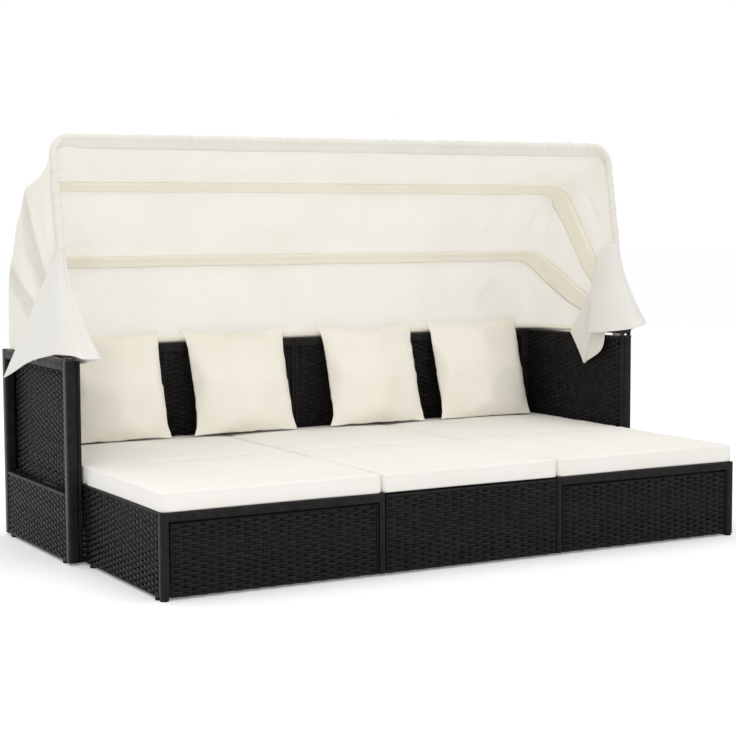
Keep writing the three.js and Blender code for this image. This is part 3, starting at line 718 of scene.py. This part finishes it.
def placeCushions():
    for seed, row, body in ((0, "rear", "sofa"), (3, "front", "front_cushions")):
        for index, place in enumerate(("left", "centre", "right")):
            node = f"cushion_{row}_{place}"
            piece = meshFrom("seatCushion" + row.title() + place.title(), boxCushion(node, seed + index))
            finishPiece(piece, cloths["cushionCloth"], body, [node])


placeCushions()
print("cushions made")


pillowLook = {
    "case": (0.400, 0.375),
    "cells": 40,
    "seamGap": 0.002,
    "plump": 0.02,  # how far the case's layers stand out before it is blown up
    "quickPlump": 2.5,
    "pressure": 1.0,
    "stiffness": 40,
    "bending": 0.5,
    "mass": 0.3,
    "quality": 8,
    "frames": 25,
    "thick": 0.122,
    "wide": (0.352, 0.385, 0.385, 0.385),
    "move": (-0.016, 0.0, 0.0, 0.0),
    "tall": 0.360,
    "lean": 17,
    "press": 0.022,  # how far the back of a pillow is flattened by the sofa's back
    "soft": 0.006,
    "gaps": (0.003, 0.001),  # to the sofa's back and to the seat
    "hollows": {"left": (0.025, 6), "right": (0.014, 4), "top": (0.021, 2), "bottom": (0.005, 3)},
    "hollowShares": (0.7, 1.0, 1.0, 0.6),
    "smoothing": 10,
    "puckers": (0.0030, 34),  # height and scale, beside the seam and over the whole
    "lumps": (0.0016, 9),
    "puckerBand": 0.25,
    "fill": 0.7,
}


def flatCase():
    # two layers of cloth sewn together round the rim
    cells = pillowLook["cells"]
    wide, tall = pillowLook["case"]
    line = np.linspace(-0.5, 0.5, cells + 1)
    u, v = np.meshgrid(line, line, indexing="ij")
    fullness = np.sqrt(np.clip((1 - (2 * u) ** 2) * (1 - (2 * v) ** 2), 0, 1))
    rim = ((np.abs(u) == 0.5) | (np.abs(v) == 0.5)).ravel()
    deep = pillowLook["seamGap"] + pillowLook["plump"] * fullness
    front = np.stack([u * wide, -deep, v * tall], -1).reshape(-1, 3)
    front[rim, 1] = 0
    faces = gridFaces(cells + 1, cells + 1)
    count = len(front)
    index = np.arange(2 * count)
    index[count:][rim] = np.arange(count)[rim]
    used = np.unique(index)
    order = np.full(2 * count, -1)
    order[used] = np.arange(len(used))
    points = np.vstack([front, front * np.array([1, -1, 1])])[used]
    return points, order[index[np.vstack([faces, faces[:, ::-1] + count])]]


def inflated():
    # the sewn case blown up by a cloth simulation
    points, faces = flatCase()
    piece = meshFrom("pillowCase", [(points, [faces])])
    cloth = piece.modifiers.new("Cloth", "CLOTH").settings
    cloth.quality = pillowLook["quality"]
    cloth.mass = pillowLook["mass"]
    cloth.tension_stiffness = cloth.compression_stiffness = pillowLook["stiffness"]
    cloth.shear_stiffness = pillowLook["stiffness"] / 2
    cloth.bending_stiffness = pillowLook["bending"]
    cloth.use_pressure = True
    cloth.uniform_pressure_force = pillowLook["pressure"]
    cloth.effector_weights.gravity = 0
    scene = bpy.context.scene
    scene.frame_start, scene.frame_end = 1, pillowLook["frames"]
    for step in range(1, pillowLook["frames"] + 1):
        scene.frame_set(step)
    evaluated = piece.evaluated_get(bpy.context.evaluated_depsgraph_get())
    result = np.array([v.co for v in evaluated.data.vertices], float)
    scene.frame_set(1)
    bpy.data.objects.remove(piece)
    return result, faces


def smoothed(points, faces, fixed):
    # evens out the small dents that the simulation leaves, away from the seam
    pairs = np.vstack([faces[:, [k, (k + 1) % 4]] for k in range(4)])
    count = np.bincount(pairs[:, 0], minlength=len(points))[:, None]
    for _ in range(pillowLook["smoothing"]):
        total = np.zeros_like(points)
        np.add.at(total, pairs[:, 0], points[pairs[:, 1]])
        points = np.where(fixed[:, None], points, 0.5 * points + 0.5 * total / count)
    return points


def caseShares():
    # each point's place on the flat case, -1 to 1 both ways
    return flatCase()[0][:, [0, 2]] / np.array(pillowLook["case"]) * 2


def dressed(points, share, wide):
    # draws the seam to straight corners with a hollow between them on each side
    cells = pillowLook["cells"]
    shares = caseShares()
    rim = points[: (cells + 1) ** 2].reshape(cells + 1, cells + 1, 3)
    line = np.linspace(-1, 1, cells + 1)
    for axis, size, sides in ((0, wide, ("left", "right")), (2, pillowLook["tall"], ("bottom", "top"))):
        other = shares[:, 1] if axis == 0 else shares[:, 0]
        lowRim, highRim = (rim[0, :, 0], rim[-1, :, 0]) if axis == 0 else (rim[:, 0, 2], rim[:, -1, 2])
        lowNow, highNow = np.interp(other, line, lowRim), np.interp(other, line, highRim)
        hollows = (pillowLook["hollows"][side] for side in sides)
        lowDeep, highDeep = (deep * share * (1 - np.abs(other) ** power) for deep, power in hollows)
        place = (points[:, axis] - lowNow) / (highNow - lowNow)
        points[:, axis] = -size / 2 + lowDeep + place * (size - lowDeep - highDeep)
    return points


def placePillow(number, case):
    low, high = corners(f"pillow_{number}")
    result, faces = case[0].copy(), case[1]
    toSeam = 1 - np.abs(caseShares()).max(1)
    result = smoothed(result, faces, toSeam < 0.001)
    result = dressed(result, pillowLook["hollowShares"][number - 1], pillowLook["wide"][number - 1])
    result[:, 1] *= pillowLook["thick"] / np.ptp(result[:, 1])
    nearRim = np.clip(1 - toSeam / pillowLook["puckerBand"], 0, 1)[:, None]
    (puckerHigh, puckerScale), (lumpHigh, lumpScale) = pillowLook["puckers"], pillowLook["lumps"]
    result += puckerHigh * nearRim * lumps(result, puckerScale, 9 * number)
    result += lumpHigh * lumps(result, lumpScale, 5 * number)
    lean = math.radians(-pillowLook["lean"])
    y, z = result[:, 1].copy(), result[:, 2].copy()
    result[:, 1] = y * math.cos(lean) - z * math.sin(lean)
    result[:, 2] = y * math.sin(lean) + z * math.cos(lean)
    result += (low + high) / 2 - (result.max(0) + result.min(0)) / 2
    result[:, 0] += pillowLook["move"][number - 1]
    backGap, seatGap = pillowLook["gaps"]
    result[:, 2] += low[2] + seatGap - result[:, 2].min()
    wall, soft = high[1] - backGap, pillowLook["soft"]
    result[:, 1] += wall + pillowLook["press"] - result[:, 1].max()
    over = np.maximum(result[:, 1] - wall + soft, 0)
    result[:, 1] = np.where(over > 0, wall - soft * np.exp(-over / soft), result[:, 1])
    piece = meshFrom(f"pillow{number}", [(result, [faces])])
    subdivide = piece.modifiers.new("Subdivision", "SUBSURF")
    subdivide.levels = subdivide.render_levels = 1
    finishPiece(piece, cloths["pillowCloth"], "sofa", [f"pillow_{number}"])


fullCase = inflated()
for number in (1, 2, 3, 4):
    placePillow(number, fullCase)
print("pillows made")


canopyLook = {
    "pivotY": 0.002,
    "pivotZ": 0.604,
    "legPlane": 0.985,
    "bend": 0.052,
    "creases": (0.4, 0.4, 0.0),  # how much tighter the cloth turns its corners between two hoops
    "pulls": (0.004, 0.012, 0.030),  # how far those corners are drawn in
    "cornerInset": 0.02,
    "cornerReach": 0.10,
    "cloth": 0.0108,  # cloth outside the hoops' centre lines
    "start": 0.074,
    "sags": (0.004, 0.013, 0.016),
    "sagReach": 0.09,  # from the sides to where the top sags fully
    "thick": 0.0016,
    "rows": 30,
    "angles": (-1, 26, 53, 79.5),
    "radii": (0.558, 0.585, 0.611, 0.628),
    "rearLift": 0.003,
}
# drag folds: the plane they are laid out in, its side, two ends, half width, and height outwards
creases = [
    ("side", -1, (0.501, 0.824), (0.287, 0.713), 0.016, 0.0075),
    ("side", -1, (0.294, 0.900), (0.162, 0.818), 0.014, 0.0065),
    ("side", -1, (0.127, 0.813), (0.065, 0.840), 0.008, 0.0050),
    ("side", -1, (0.371, 1.007), (0.305, 0.861), 0.020, 0.0050),
    ("side", -1, (0.217, 1.102), (0.175, 0.899), 0.018, 0.0050),
    ("side", -1, (0.470, 0.690), (0.330, 0.640), 0.018, 0.0050),
    ("side", 1, (0.480, 0.800), (0.300, 0.700), 0.018, 0.0060),
    ("side", 1, (0.330, 0.930), (0.200, 0.830), 0.018, 0.0050),
    ("side", 1, (0.240, 1.080), (0.150, 0.920), 0.018, 0.0050),
    ("back", 1, (0.806, 1.060), (0.679, 0.901), 0.026, -0.0055),
    ("back", 1, (0.935, 1.061), (0.871, 0.900), 0.020, -0.0050),
    ("back", 1, (0.832, 0.843), (0.726, 0.663), 0.024, -0.0060),
    ("back", 1, (0.560, 1.040), (0.420, 0.930), 0.030, -0.0030),
    ("back", -1, (0.850, 1.050), (0.700, 0.900), 0.026, -0.0045),
    ("back", -1, (0.900, 0.840), (0.760, 0.680), 0.024, -0.0050),
    ("back", -1, (0.350, 0.800), (0.150, 0.690), 0.034, -0.0030),
]


def hoopPoint(angle, x, out):
    # a place in a hoop's plane: x across, and out from the pivots
    turn = np.radians(angle)
    y = canopyLook["pivotY"] + out * np.cos(turn)
    z = canopyLook["pivotZ"] + out * np.sin(turn)
    return np.stack(np.broadcast_arrays(x, y, z), -1)


def hoopLine(radius, extra, start, tight=1.0, steps=(22, 12, 60)):
    # from the right pivot up the leg, round the bend and over to the left one
    legSteps, bendSteps, topSteps = steps
    half, reach = canopyLook["legPlane"] + extra, radius + extra
    bend = (canopyLook["bend"] + extra) * tight
    up = np.linspace(start, reach - bend, legSteps, endpoint=False)
    leg = np.column_stack([np.full(legSteps, half), up])
    turn = np.linspace(0, np.pi / 2, bendSteps, endpoint=False)
    corner = np.column_stack([half - bend + bend * np.cos(turn), reach - bend + bend * np.sin(turn)])
    top = np.column_stack([np.linspace(half - bend, 0, topSteps), np.full(topSteps, reach)])
    right = np.vstack([leg, corner, top])
    return np.vstack([right, right[:-1][::-1] * np.array([-1, 1])])


def inwards(line):
    along = np.gradient(line, axis=0)
    return unit(np.column_stack([-along[:, 1], along[:, 0]]))


def outwardNormals(grid):
    normal = np.cross(np.gradient(grid, axis=0), np.gradient(grid, axis=1))
    normal /= np.maximum(np.linalg.norm(normal, axis=2), 1e-9)[:, :, None]
    spoke = grid - np.array([0, canopyLook["pivotY"], canopyLook["pivotZ"]])
    return normal * np.sign((normal * spoke).sum())


def goreGrid(index, lift):
    # the plain sheet from one hoop to the next, its first edge raised above the lower hoop's plane by lift
    radii, angles = canopyLook["radii"][index:index + 2], canopyLook["angles"]
    inset, reach = canopyLook["cornerInset"], canopyLook["cornerReach"]
    grid = []
    shares = np.linspace(0, 1, canopyLook["rows"])
    for share in shares:
        middle = math.sin(math.pi * share)
        tight = 1 - canopyLook["creases"][index] * middle
        low, high = (hoopLine(radius, canopyLook["cloth"], canopyLook["start"], tight) for radius in radii)
        line = low + (high - low) * share
        half, top = line[:, 0].max(), line[:, 1].max()
        onTop = np.clip((half - np.abs(line[:, 0])) / canopyLook["sagReach"], 0, 1)
        fromCorner = np.hypot(half - inset - np.abs(line[:, 0]), top - inset - line[:, 1])
        deep = canopyLook["sags"][index] * onTop
        deep = deep + canopyLook["pulls"][index] * np.exp(-((fromCorner / reach) ** 2))
        place = line + inwards(line) * (deep * middle)[:, None]
        first = angles[index] + np.degrees(lift / line[:, 1])
        grid.append(hoopPoint(first + (angles[index + 1] - first) * share, place[:, 0], place[:, 1]))
    return np.array(grid).transpose(1, 0, 2), shares[None, :]


# height, scale and stretch of the buckles, of the fine ones and of the pulls at the hoops
foldLook = {
    "broad": (0.009, 3.2, (1.0, 2.2, 2.2)),
    "fine": (0.0034, 14, (1.6, 1.0, 1.0)),
    "pulls": (0.0009, 30, (1.0, 0.15, 0.15)),
    "slack": 0.0015,
    "creases": 3.0,  # how much higher the drag folds stand than they are listed
    "sideFrom": 0.955,  # the sides' drag folds fade in beyond this, the back's end at backTo
    "sideReach": 0.03,
    "backTo": 0.98,
}


def creaseHeight(grid):
    height = np.zeros(grid.shape[:2])
    x, y, z = np.moveaxis(grid, 2, 0)
    for plane, side, start, end, wide, high in creases:
        across = y if plane == "side" else x * side
        start, end = np.array(start), np.array(end)
        run = end - start
        place = np.stack([across, z], -1) - start
        share = np.clip((place @ run) / (run @ run), 0, 1)
        away = np.linalg.norm(place - share[:, :, None] * run, axis=2)
        near = x * side < foldLook["backTo"]
        if plane == "side":
            near = np.clip((x * side - foldLook["sideFrom"]) / foldLook["sideReach"], 0, 1)
        height += high * np.exp(-((away / wide) ** 2)) * np.sin(np.pi * share) ** 0.5 * near
    return height


def buckles(grid, look, seed):
    high, scale, stretch = look
    return high * noiseAt(grid.reshape(-1, 3) * np.array(stretch), scale, seed).reshape(grid.shape[:2])


def folds(grid, share, seed):
    # soft buckles across the span and fine pulls towards the hoops, besides the drag folds
    loose = np.sin(np.pi * share)
    height = buckles(grid, foldLook["broad"], seed) + buckles(grid, foldLook["fine"], seed + 4)
    height += foldLook["creases"] * creaseHeight(grid)
    pulls = buckles(grid, foldLook["pulls"], seed + 8)
    return loose**2 * height + loose * (1 - loose) * pulls - foldLook["slack"] * loose


def thicken(piece, thick, offset=0):
    # a rim between two faces of cloth, without dark shading along it
    solid = piece.modifiers.new("Thickness", "SOLIDIFY")
    solid.thickness, solid.offset = thick, offset
    even = piece.modifiers.new("EvenNormals", "WEIGHTED_NORMAL")
    even.weight = 100


def addGore(name, index, node):
    plain, share = goreGrid(index, canopyLook["rearLift"] if index == 0 else 0.0)
    grid = plain + outwardNormals(plain) * folds(plain, share, index + 1)[:, :, None]
    piece = gridMesh(name, grid)
    thicken(piece, canopyLook["thick"])
    finishPiece(piece, cloths["canopyCloth"], None, [node])
    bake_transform(piece)


addGore("canopyRearGore", 0, "canopy_rear_gore")
addGore("canopyMiddleGore", 1, "canopy_middle_gore")
addGore("canopyFrontGore", 2, "canopy_front_gore")
print("gores made")


# sewn channels round the hoops, and how far they hang down on the top and on the legs
tunnelLooks = [
    {"name": "rearTunnel", "hoop": 0, "body": "sofa", "start": 0.185, "round": 0.0096, "cloth": "tunnelClothPaintedShade",
     "top": 0.0172, "leg": 0.0172, "pucker": 0.0013, "grain": 60, "steps": (120, 20, 260)},
    {"name": "lowerTunnel", "hoop": 1, "body": "canopy_lower", "behind": "sofa", "start": 0.15,
     "round": 0.0096, "cloth": "tunnelClothPaintedShade", "top": 0.036, "leg": 0.074, "pucker": 0.0008, "grain": 16,
     "steps": (50, 28, 120)},
    {"name": "upperTunnel", "hoop": 2, "body": "canopy_upper", "behind": "canopy_lower", "start": 0.15,
     "round": 0.0096, "cloth": "tunnelClothPaintedShade", "top": 0.031, "leg": 0.078, "pucker": 0.0008, "grain": 16,
     "steps": (50, 28, 120)},
    {"name": "canopySleeve", "hoop": 3, "body": "canopy_front", "start": 0.300, "round": 0.0108,
     "cloth": "sleeveClothPaintedShade", "top": 0.040, "leg": 0.0225, "pucker": 0.0030, "grain": 62,
     "frill": 0.006, "steps": (110, 30, 400), "replaces": ["canopy_sleeve"]},
]
tunnelShape = {
    "roundSteps": 10,
    "hangShares": (0.12, 0.25, 0.42, 0.66, 0.9),
    "tip": 0.0020,
    "hollow": 0.7,  # below 1, the cloth comes together sooner under the hoop
    "clear": 0.0094,  # from the middle of the hoop to the cloth, at the least
    "least": 1.7,  # shortest band, in radii of its round part
    "turn": 0.055,  # length over which the band turns at a corner
    "turnSteps": 1200,
    "thick": 0.0007,
    "gives": (0.010, 0.125),  # where a band gives way to the hoop behind, from a little to wholly
    "wide": 0.05,
    "tapers": (0.3, 0.35),  # a wide band narrows below this reach, down to this share
    "uneven": (0.08, 3),
    "slant": (0.5, 0.012),  # how the puckers lean as they run down
    "swell": 0.25,
    "calm": 0.75,  # how much calmer the lower edge is
    "skew": 0.003,  # how far the lower edge leans in
    "skewsFrom": 0.025,
}


def tunnelOutline(size, deep, frill):
    # across and down from the middle of the hoop: round over the hoop, flat where it hangs
    turns = np.radians(np.linspace(-90, 90, tunnelShape["roundSteps"]))
    shares = np.array(tunnelShape["hangShares"])
    over = np.column_stack([size * np.sin(turns), -(size + frill) * np.cos(turns)])
    half = size + (tunnelShape["tip"] - size) * shares ** tunnelShape["hollow"]
    down = shares * (deep - size)
    half = np.maximum(half, np.sqrt(np.maximum(tunnelShape["clear"] ** 2 - down**2, 0)))
    inner = np.column_stack([half, down])
    outer = np.column_stack([-half, down])[::-1]
    return np.vstack([over, inner, [[0, max(deep - size, tunnelShape["clear"])]], outer])


def eased(run, values):
    # running mean over the turn of a corner
    even = np.linspace(0, run[-1], tunnelShape["turnSteps"])
    reach = max(1, round(tunnelShape["turn"] / (even[1] - even[0])))
    kernel = np.ones(2 * reach + 1) / (2 * reach + 1)
    columns = []
    for column in values.T:
        padded = np.pad(np.interp(even, run, column), reach, mode="edge")
        columns.append(np.interp(run, even, np.convolve(padded, kernel, mode="valid")))
    return np.array(columns).T


def hangingWay(along, run):
    # straight down, but square to the hoop, and eased round the corners
    down = np.array([0, 0, -1.0]) + along[:, 2:3] * along
    down = eased(run, unit(down))
    return unit(down - (down * along).sum(1)[:, None] * along)


def bandDepth(look, line, run, onTop):
    # how far the band hangs at each step of the hoop
    reach, narrowest = tunnelShape["tapers"]
    taper = np.clip(line[:, 1] / reach, narrowest, 1) if look["leg"] > tunnelShape["wide"] else 1.0
    deep = look["leg"] * taper + (look["top"] - look["leg"] * taper) * onTop
    deep = eased(run, deep[:, None])[:, 0]
    share, scale = tunnelShape["uneven"]
    return deep * (1 + share * noiseLine(run, scale, look["hoop"]))


def tunnelGrid(look):
    hoop, size = look["hoop"], look["round"]
    line = hoopLine(canopyLook["radii"][hoop], 0.0, look["start"], 1.0, look["steps"])
    places = hoopPoint(canopyLook["angles"][hoop], line[:, 0], line[:, 1])
    run = runAlong(places)
    along = unit(np.gradient(places, axis=0))
    down = hangingWay(along, run)
    inside = np.cross(along, down)
    onTop = np.clip((canopyLook["legPlane"] - np.abs(line[:, 0])) / canopyLook["bend"], 0, 1)
    deep = bandDepth(look, line, run, onTop)
    frills = look.get("frill", 0.0) * onTop * np.clip(0.5 + 0.5 * line[:, 0], 0, 1)
    slant, lowSlant = tunnelShape["slant"]
    rings = []
    for step in range(len(line)):
        outline = tunnelOutline(size, max(deep[step], tunnelShape["least"] * size), frills[step])
        low = np.clip(outline[:, 1] / (deep[step] - size), 0, 1)
        ripple = noiseLine(run[step] + slant * outline[:, 1] + lowSlant * low, look["grain"], 3 + hoop)
        puff = look["pucker"] * (ripple + tunnelShape["swell"]) * (1 - tunnelShape["calm"] * low) / size
        across, drop = outline.T * (1 + puff)
        across = across + tunnelShape["skew"] * low * (deep[step] > tunnelShape["skewsFrom"])
        rings.append(places[step] + inside[step] * across[:, None] + down[step] * drop[:, None])
    return np.array(rings)


def addTunnel(look):
    grid = tunnelGrid(look)
    piece = meshFrom(look["name"], [sweep(grid, capped=False)])
    thicken(piece, tunnelShape["thick"], -1)
    behind, replaced = look.get("behind"), look.get("replaces", [])
    finishPiece(piece, cloths[look["cloth"]], None if behind else look["body"], replaced)
    if behind:
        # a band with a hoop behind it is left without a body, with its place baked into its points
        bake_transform(piece)


for look in tunnelLooks:
    addTunnel(look)
print("tunnels and sleeve made")


# the flaps' hems: across and back from the leg, above the arm's top, and how late the cloth spreads to them
flapLook = {
    "left": [
        (-0.040, 0.170, -0.050, 0.5), (-0.040, 0.060, -0.016, 0.8), (-0.042, -0.040, -0.004, 1.2),
        (-0.047, -0.112, 0.010, 1.65), (-0.006, -0.104, 0.012, 1.6), (0.030, -0.074, 0.022, 1.4),
        (0.060, -0.030, 0.022, 1.15), (0.092, 0.050, 0.000, 1.0), (0.123, 0.238, -0.060, 1.0),
    ],
    "right": [
        (-0.038, 0.265, 0.004, 1.0), (-0.038, 0.197, -0.080, 1.0), (-0.038, 0.182, -0.101, 1.0),
        (-0.038, 0.165, -0.092, 1.0), (-0.038, 0.085, -0.050, 0.9),
        (-0.042, 0.070, 0.000, 0.5), (-0.062, 0.130, 0.006, 0.22), (-0.056, 0.030, 0.016, 0.5),
        (-0.020, -0.048, 0.028, 1.3), (0.035, -0.052, 0.040, 1.6), (0.084, 0.000, 0.044, 1.7),
        (0.094, 0.100, 0.010, 1.5), (0.086, 0.190, -0.040, 1.2),
    ],
    "fold": 0.004,
    "folds": 5,
    "keep": 0.14,  # what is left of a flap's depth across its leg when the canopy is folded
    "turns": (-200, -15),  # part of the leg that the top goes round
    "top": 0.0098,
    "tuck": 0.004,  # how far the top reaches up under the sleeve
    "spread": (0.2, 2),
    "rows": 40,
    "columns": 120,
}


def curveThrough(points, count):
    points = np.array(points, float)
    padded = np.vstack([2 * points[0] - points[1], points, 2 * points[-1] - points[-2]])
    at = np.linspace(0, len(points) - 1, count)
    index = np.minimum(at.astype(int), len(points) - 2)
    t = (at - index)[:, None]
    a, b, c, d = (padded[index + k] for k in range(4))
    return 0.5 * (2 * b + (c - a) * t + (2 * a - 5 * b + 4 * c - d) * t**2 + (3 * b - a - 3 * c + d) * t**3)


def flapGrid(which, side):
    # from half a turn round the leg, at the sleeve's end, down to the hem
    hem = curveThrough(flapLook[which], flapLook["columns"])
    bell = np.clip(hem[:, 3], *flapLook["spread"])
    _, topY, topZ = hoopPoint(canopyLook["angles"][3], 0.0, tunnelLooks[3]["start"])
    topZ += flapLook["tuck"]
    low = frameHigh[2] + hem[:, 2]
    turns = np.radians(np.linspace(*flapLook["turns"], flapLook["columns"]))
    around = np.linspace(0, 1, flapLook["columns"])
    startX = canopyLook["legPlane"] + flapLook["top"] * np.cos(turns)
    startY = topY + flapLook["top"] * np.sin(turns)
    rows = []
    for down in np.linspace(0, 1, flapLook["rows"]):
        share = down**bell
        x = startX + (canopyLook["legPlane"] + hem[:, 0] - startX) * share
        y = startY + (canopyLook["pivotY"] + hem[:, 1] - startY) * share
        z = topZ + (low - topZ) * down
        wave = flapLook["fold"] * np.sin(2 * np.pi * flapLook["folds"] * around + side) * down
        rows.append(np.column_stack([(x + wave) * side, y + wave, z]))
    return np.array(rows).transpose(1, 0, 2)


def addFlap(which, side):
    grid = flapGrid(which, side)
    piece = gridMesh("canopyFlap" + which.title(), grid)
    thicken(piece, canopyLook["thick"])
    finishPiece(piece, cloths["flapClothPaintedShade"], "canopy_front", ["canopy_flap_" + which])
    angle = canopyLook["angles"][3]
    anchor = hoopPoint(angle, side * canopyLook["legPlane"], tunnelLooks[3]["start"])
    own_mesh(piece)


addFlap("right", 1)
addFlap("left", -1)
print("flaps made")


fittingLook = {
    "back": 0.270,
    "below": 0.011,
    "radius": 0.006,
    "high": 0.003,
    "sunk": 0.0005,
    "tip": 0.1,
    "steps": (6, 24),
}


def addFitting(name, side):
    # a domed screw head in the outer face of the arm's top rail
    ringCount, count = fittingLook["steps"]
    turns = np.linspace(0, 2 * np.pi, count, endpoint=False)
    rings = []
    for lift in np.linspace(0, 1, ringCount):
        reach = fittingLook["radius"] * max(math.sqrt(1 - lift**2), fittingLook["tip"])
        x = side * (frameHigh[0] + fittingLook["high"] * lift - fittingLook["sunk"])
        y = frameLow[1] + fittingLook["back"] + reach * np.cos(turns)
        z = frameHigh[2] - fittingLook["below"] + reach * np.sin(turns)
        rings.append(np.column_stack([np.full(count, x), y, z]))
    finishPiece(meshFrom(name, [sweep(np.array(rings))]), zinc, "sofa")


addFitting("armScrewRight", 1)
addFitting("armScrewLeft", -1)
print("fittings made")


stageLook = {
    "floor": (0.92, 0.92, 0.92, 1),
    "floorRough": 0.9,
    "floorGlow": 0.2,
    "floorSize": 40.0,
    "white": (1, 1, 1, 1),
    "worldLevel": 0.84,
}
lampLook = [
    {"name": "overheadLamp", "place": (0.0, -0.3, 4.6), "aim": (0, 0, 0.3), "size": 4.0, "power": 34},
    {"name": "leftLamp", "place": (-3.0, -4.4, 2.6), "aim": (0, 0, 0.6), "size": 2.5, "power": 36},
    {"name": "frontLamp", "place": (2.2, -5.2, 1.8), "aim": (0, 0, 0.6), "size": 3.0, "power": 7},
    {"name": "rearLamp", "place": (-2.5, 4.6, 3.2), "aim": (0, 0, 0.6), "size": 3.0, "power": 38},
]
cameraLook = {
    "focalPixels": 1730.86,
    "framePixels": 736,
    "sensor": 36,
    "yaw": 0.510,
    "pitch": 0.084,
    "roll": -0.004,
    "place": (-2.6349, -4.6816, 0.9751),
}


def seenWhite(nodes, links):
    # 1 for rays from the camera and for mirror-like rays
    path = nodes.new("ShaderNodeLightPath")
    seen = path.outputs["Is Camera Ray"]
    for name in ("Is Glossy Ray", "Is Transmission Ray"):
        seen = addMath(nodes, links, "MAXIMUM", seen, path.outputs[name])
    return seen


def addWorld():
    world = bpy.data.worlds.new("paleStudio")
    bpy.context.scene.world = world
    world.use_nodes = True
    nodes, links = world.node_tree.nodes, world.node_tree.links
    plain, white = nodes["Background"], nodes.new("ShaderNodeBackground")
    for background, level in ((plain, stageLook["worldLevel"]), (white, 1)):
        background.inputs["Color"].default_value = stageLook["white"]
        background.inputs["Strength"].default_value = level
    addMix(nodes, links, seenWhite(nodes, links), plain, white, nodes["World Output"].inputs["Surface"])


def addFloor():
    size = stageLook["floorSize"]
    points = np.array([[-size, -size, 0], [size, -size, 0], [size, size, 0], [-size, size, 0]])
    floor = meshFrom("studioFloor", [(points, [np.array([[0, 1, 2, 3]])])], smooth=False)
    material, nodes, links, shader = newMaterial("paleFloor")
    shader.inputs["Base Color"].default_value = stageLook["floor"]
    shader.inputs["Roughness"].default_value = stageLook["floorRough"]
    glow = nodes.new("ShaderNodeEmission")
    level = addMath(nodes, links, "MULTIPLY", seenWhite(nodes, links), stageLook["floorGlow"])
    links.new(level, glow.inputs["Strength"])
    both = nodes.new("ShaderNodeAddShader")
    links.new(shader.outputs[0], both.inputs[0])
    links.new(glow.outputs[0], both.inputs[1])
    links.new(both.outputs[0], nodes["Material Output"].inputs["Surface"])
    floor.data.materials.append(material)


def addLamp(look):
    lamp = bpy.data.lights.new(look["name"], "AREA")
    lamp.shape, lamp.size, lamp.energy = "DISK", look["size"], look["power"]
    holder = bpy.data.objects.new(look["name"], lamp)
    holder.location = look["place"]
    aim = Vector(look["aim"]) - holder.location
    holder.rotation_euler = aim.to_track_quat("-Z", "Y").to_euler()
    bpy.context.scene.collection.objects.link(holder)


def addCamera():
    camera = bpy.data.cameras.new("photoCamera")
    camera.sensor_width = cameraLook["sensor"]
    camera.lens = cameraLook["focalPixels"] / cameraLook["framePixels"] * camera.sensor_width
    yaw, pitch, roll = (cameraLook[k] for k in ("yaw", "pitch", "roll"))
    ahead = Vector((math.sin(yaw) * math.cos(pitch), math.cos(yaw) * math.cos(pitch), -math.sin(pitch)))
    level = Vector((math.cos(yaw), -math.sin(yaw), 0))
    up = level.cross(ahead)
    right = level * math.cos(roll) + up * math.sin(roll)
    top = up * math.cos(roll) - level * math.sin(roll)
    holder = bpy.data.objects.new("photoCamera", camera)
    turn = Matrix((right, top, -ahead)).transposed().to_4x4()
    holder.matrix_world = Matrix.Translation(cameraLook["place"]) @ turn
    bpy.context.scene.collection.objects.link(holder)
    bpy.context.scene.camera = holder


addWorld()
addFloor()
for look in lampLook:
    addLamp(look)
addCamera()
bpy.context.scene.view_settings.view_transform = "Standard"
print("stage made")
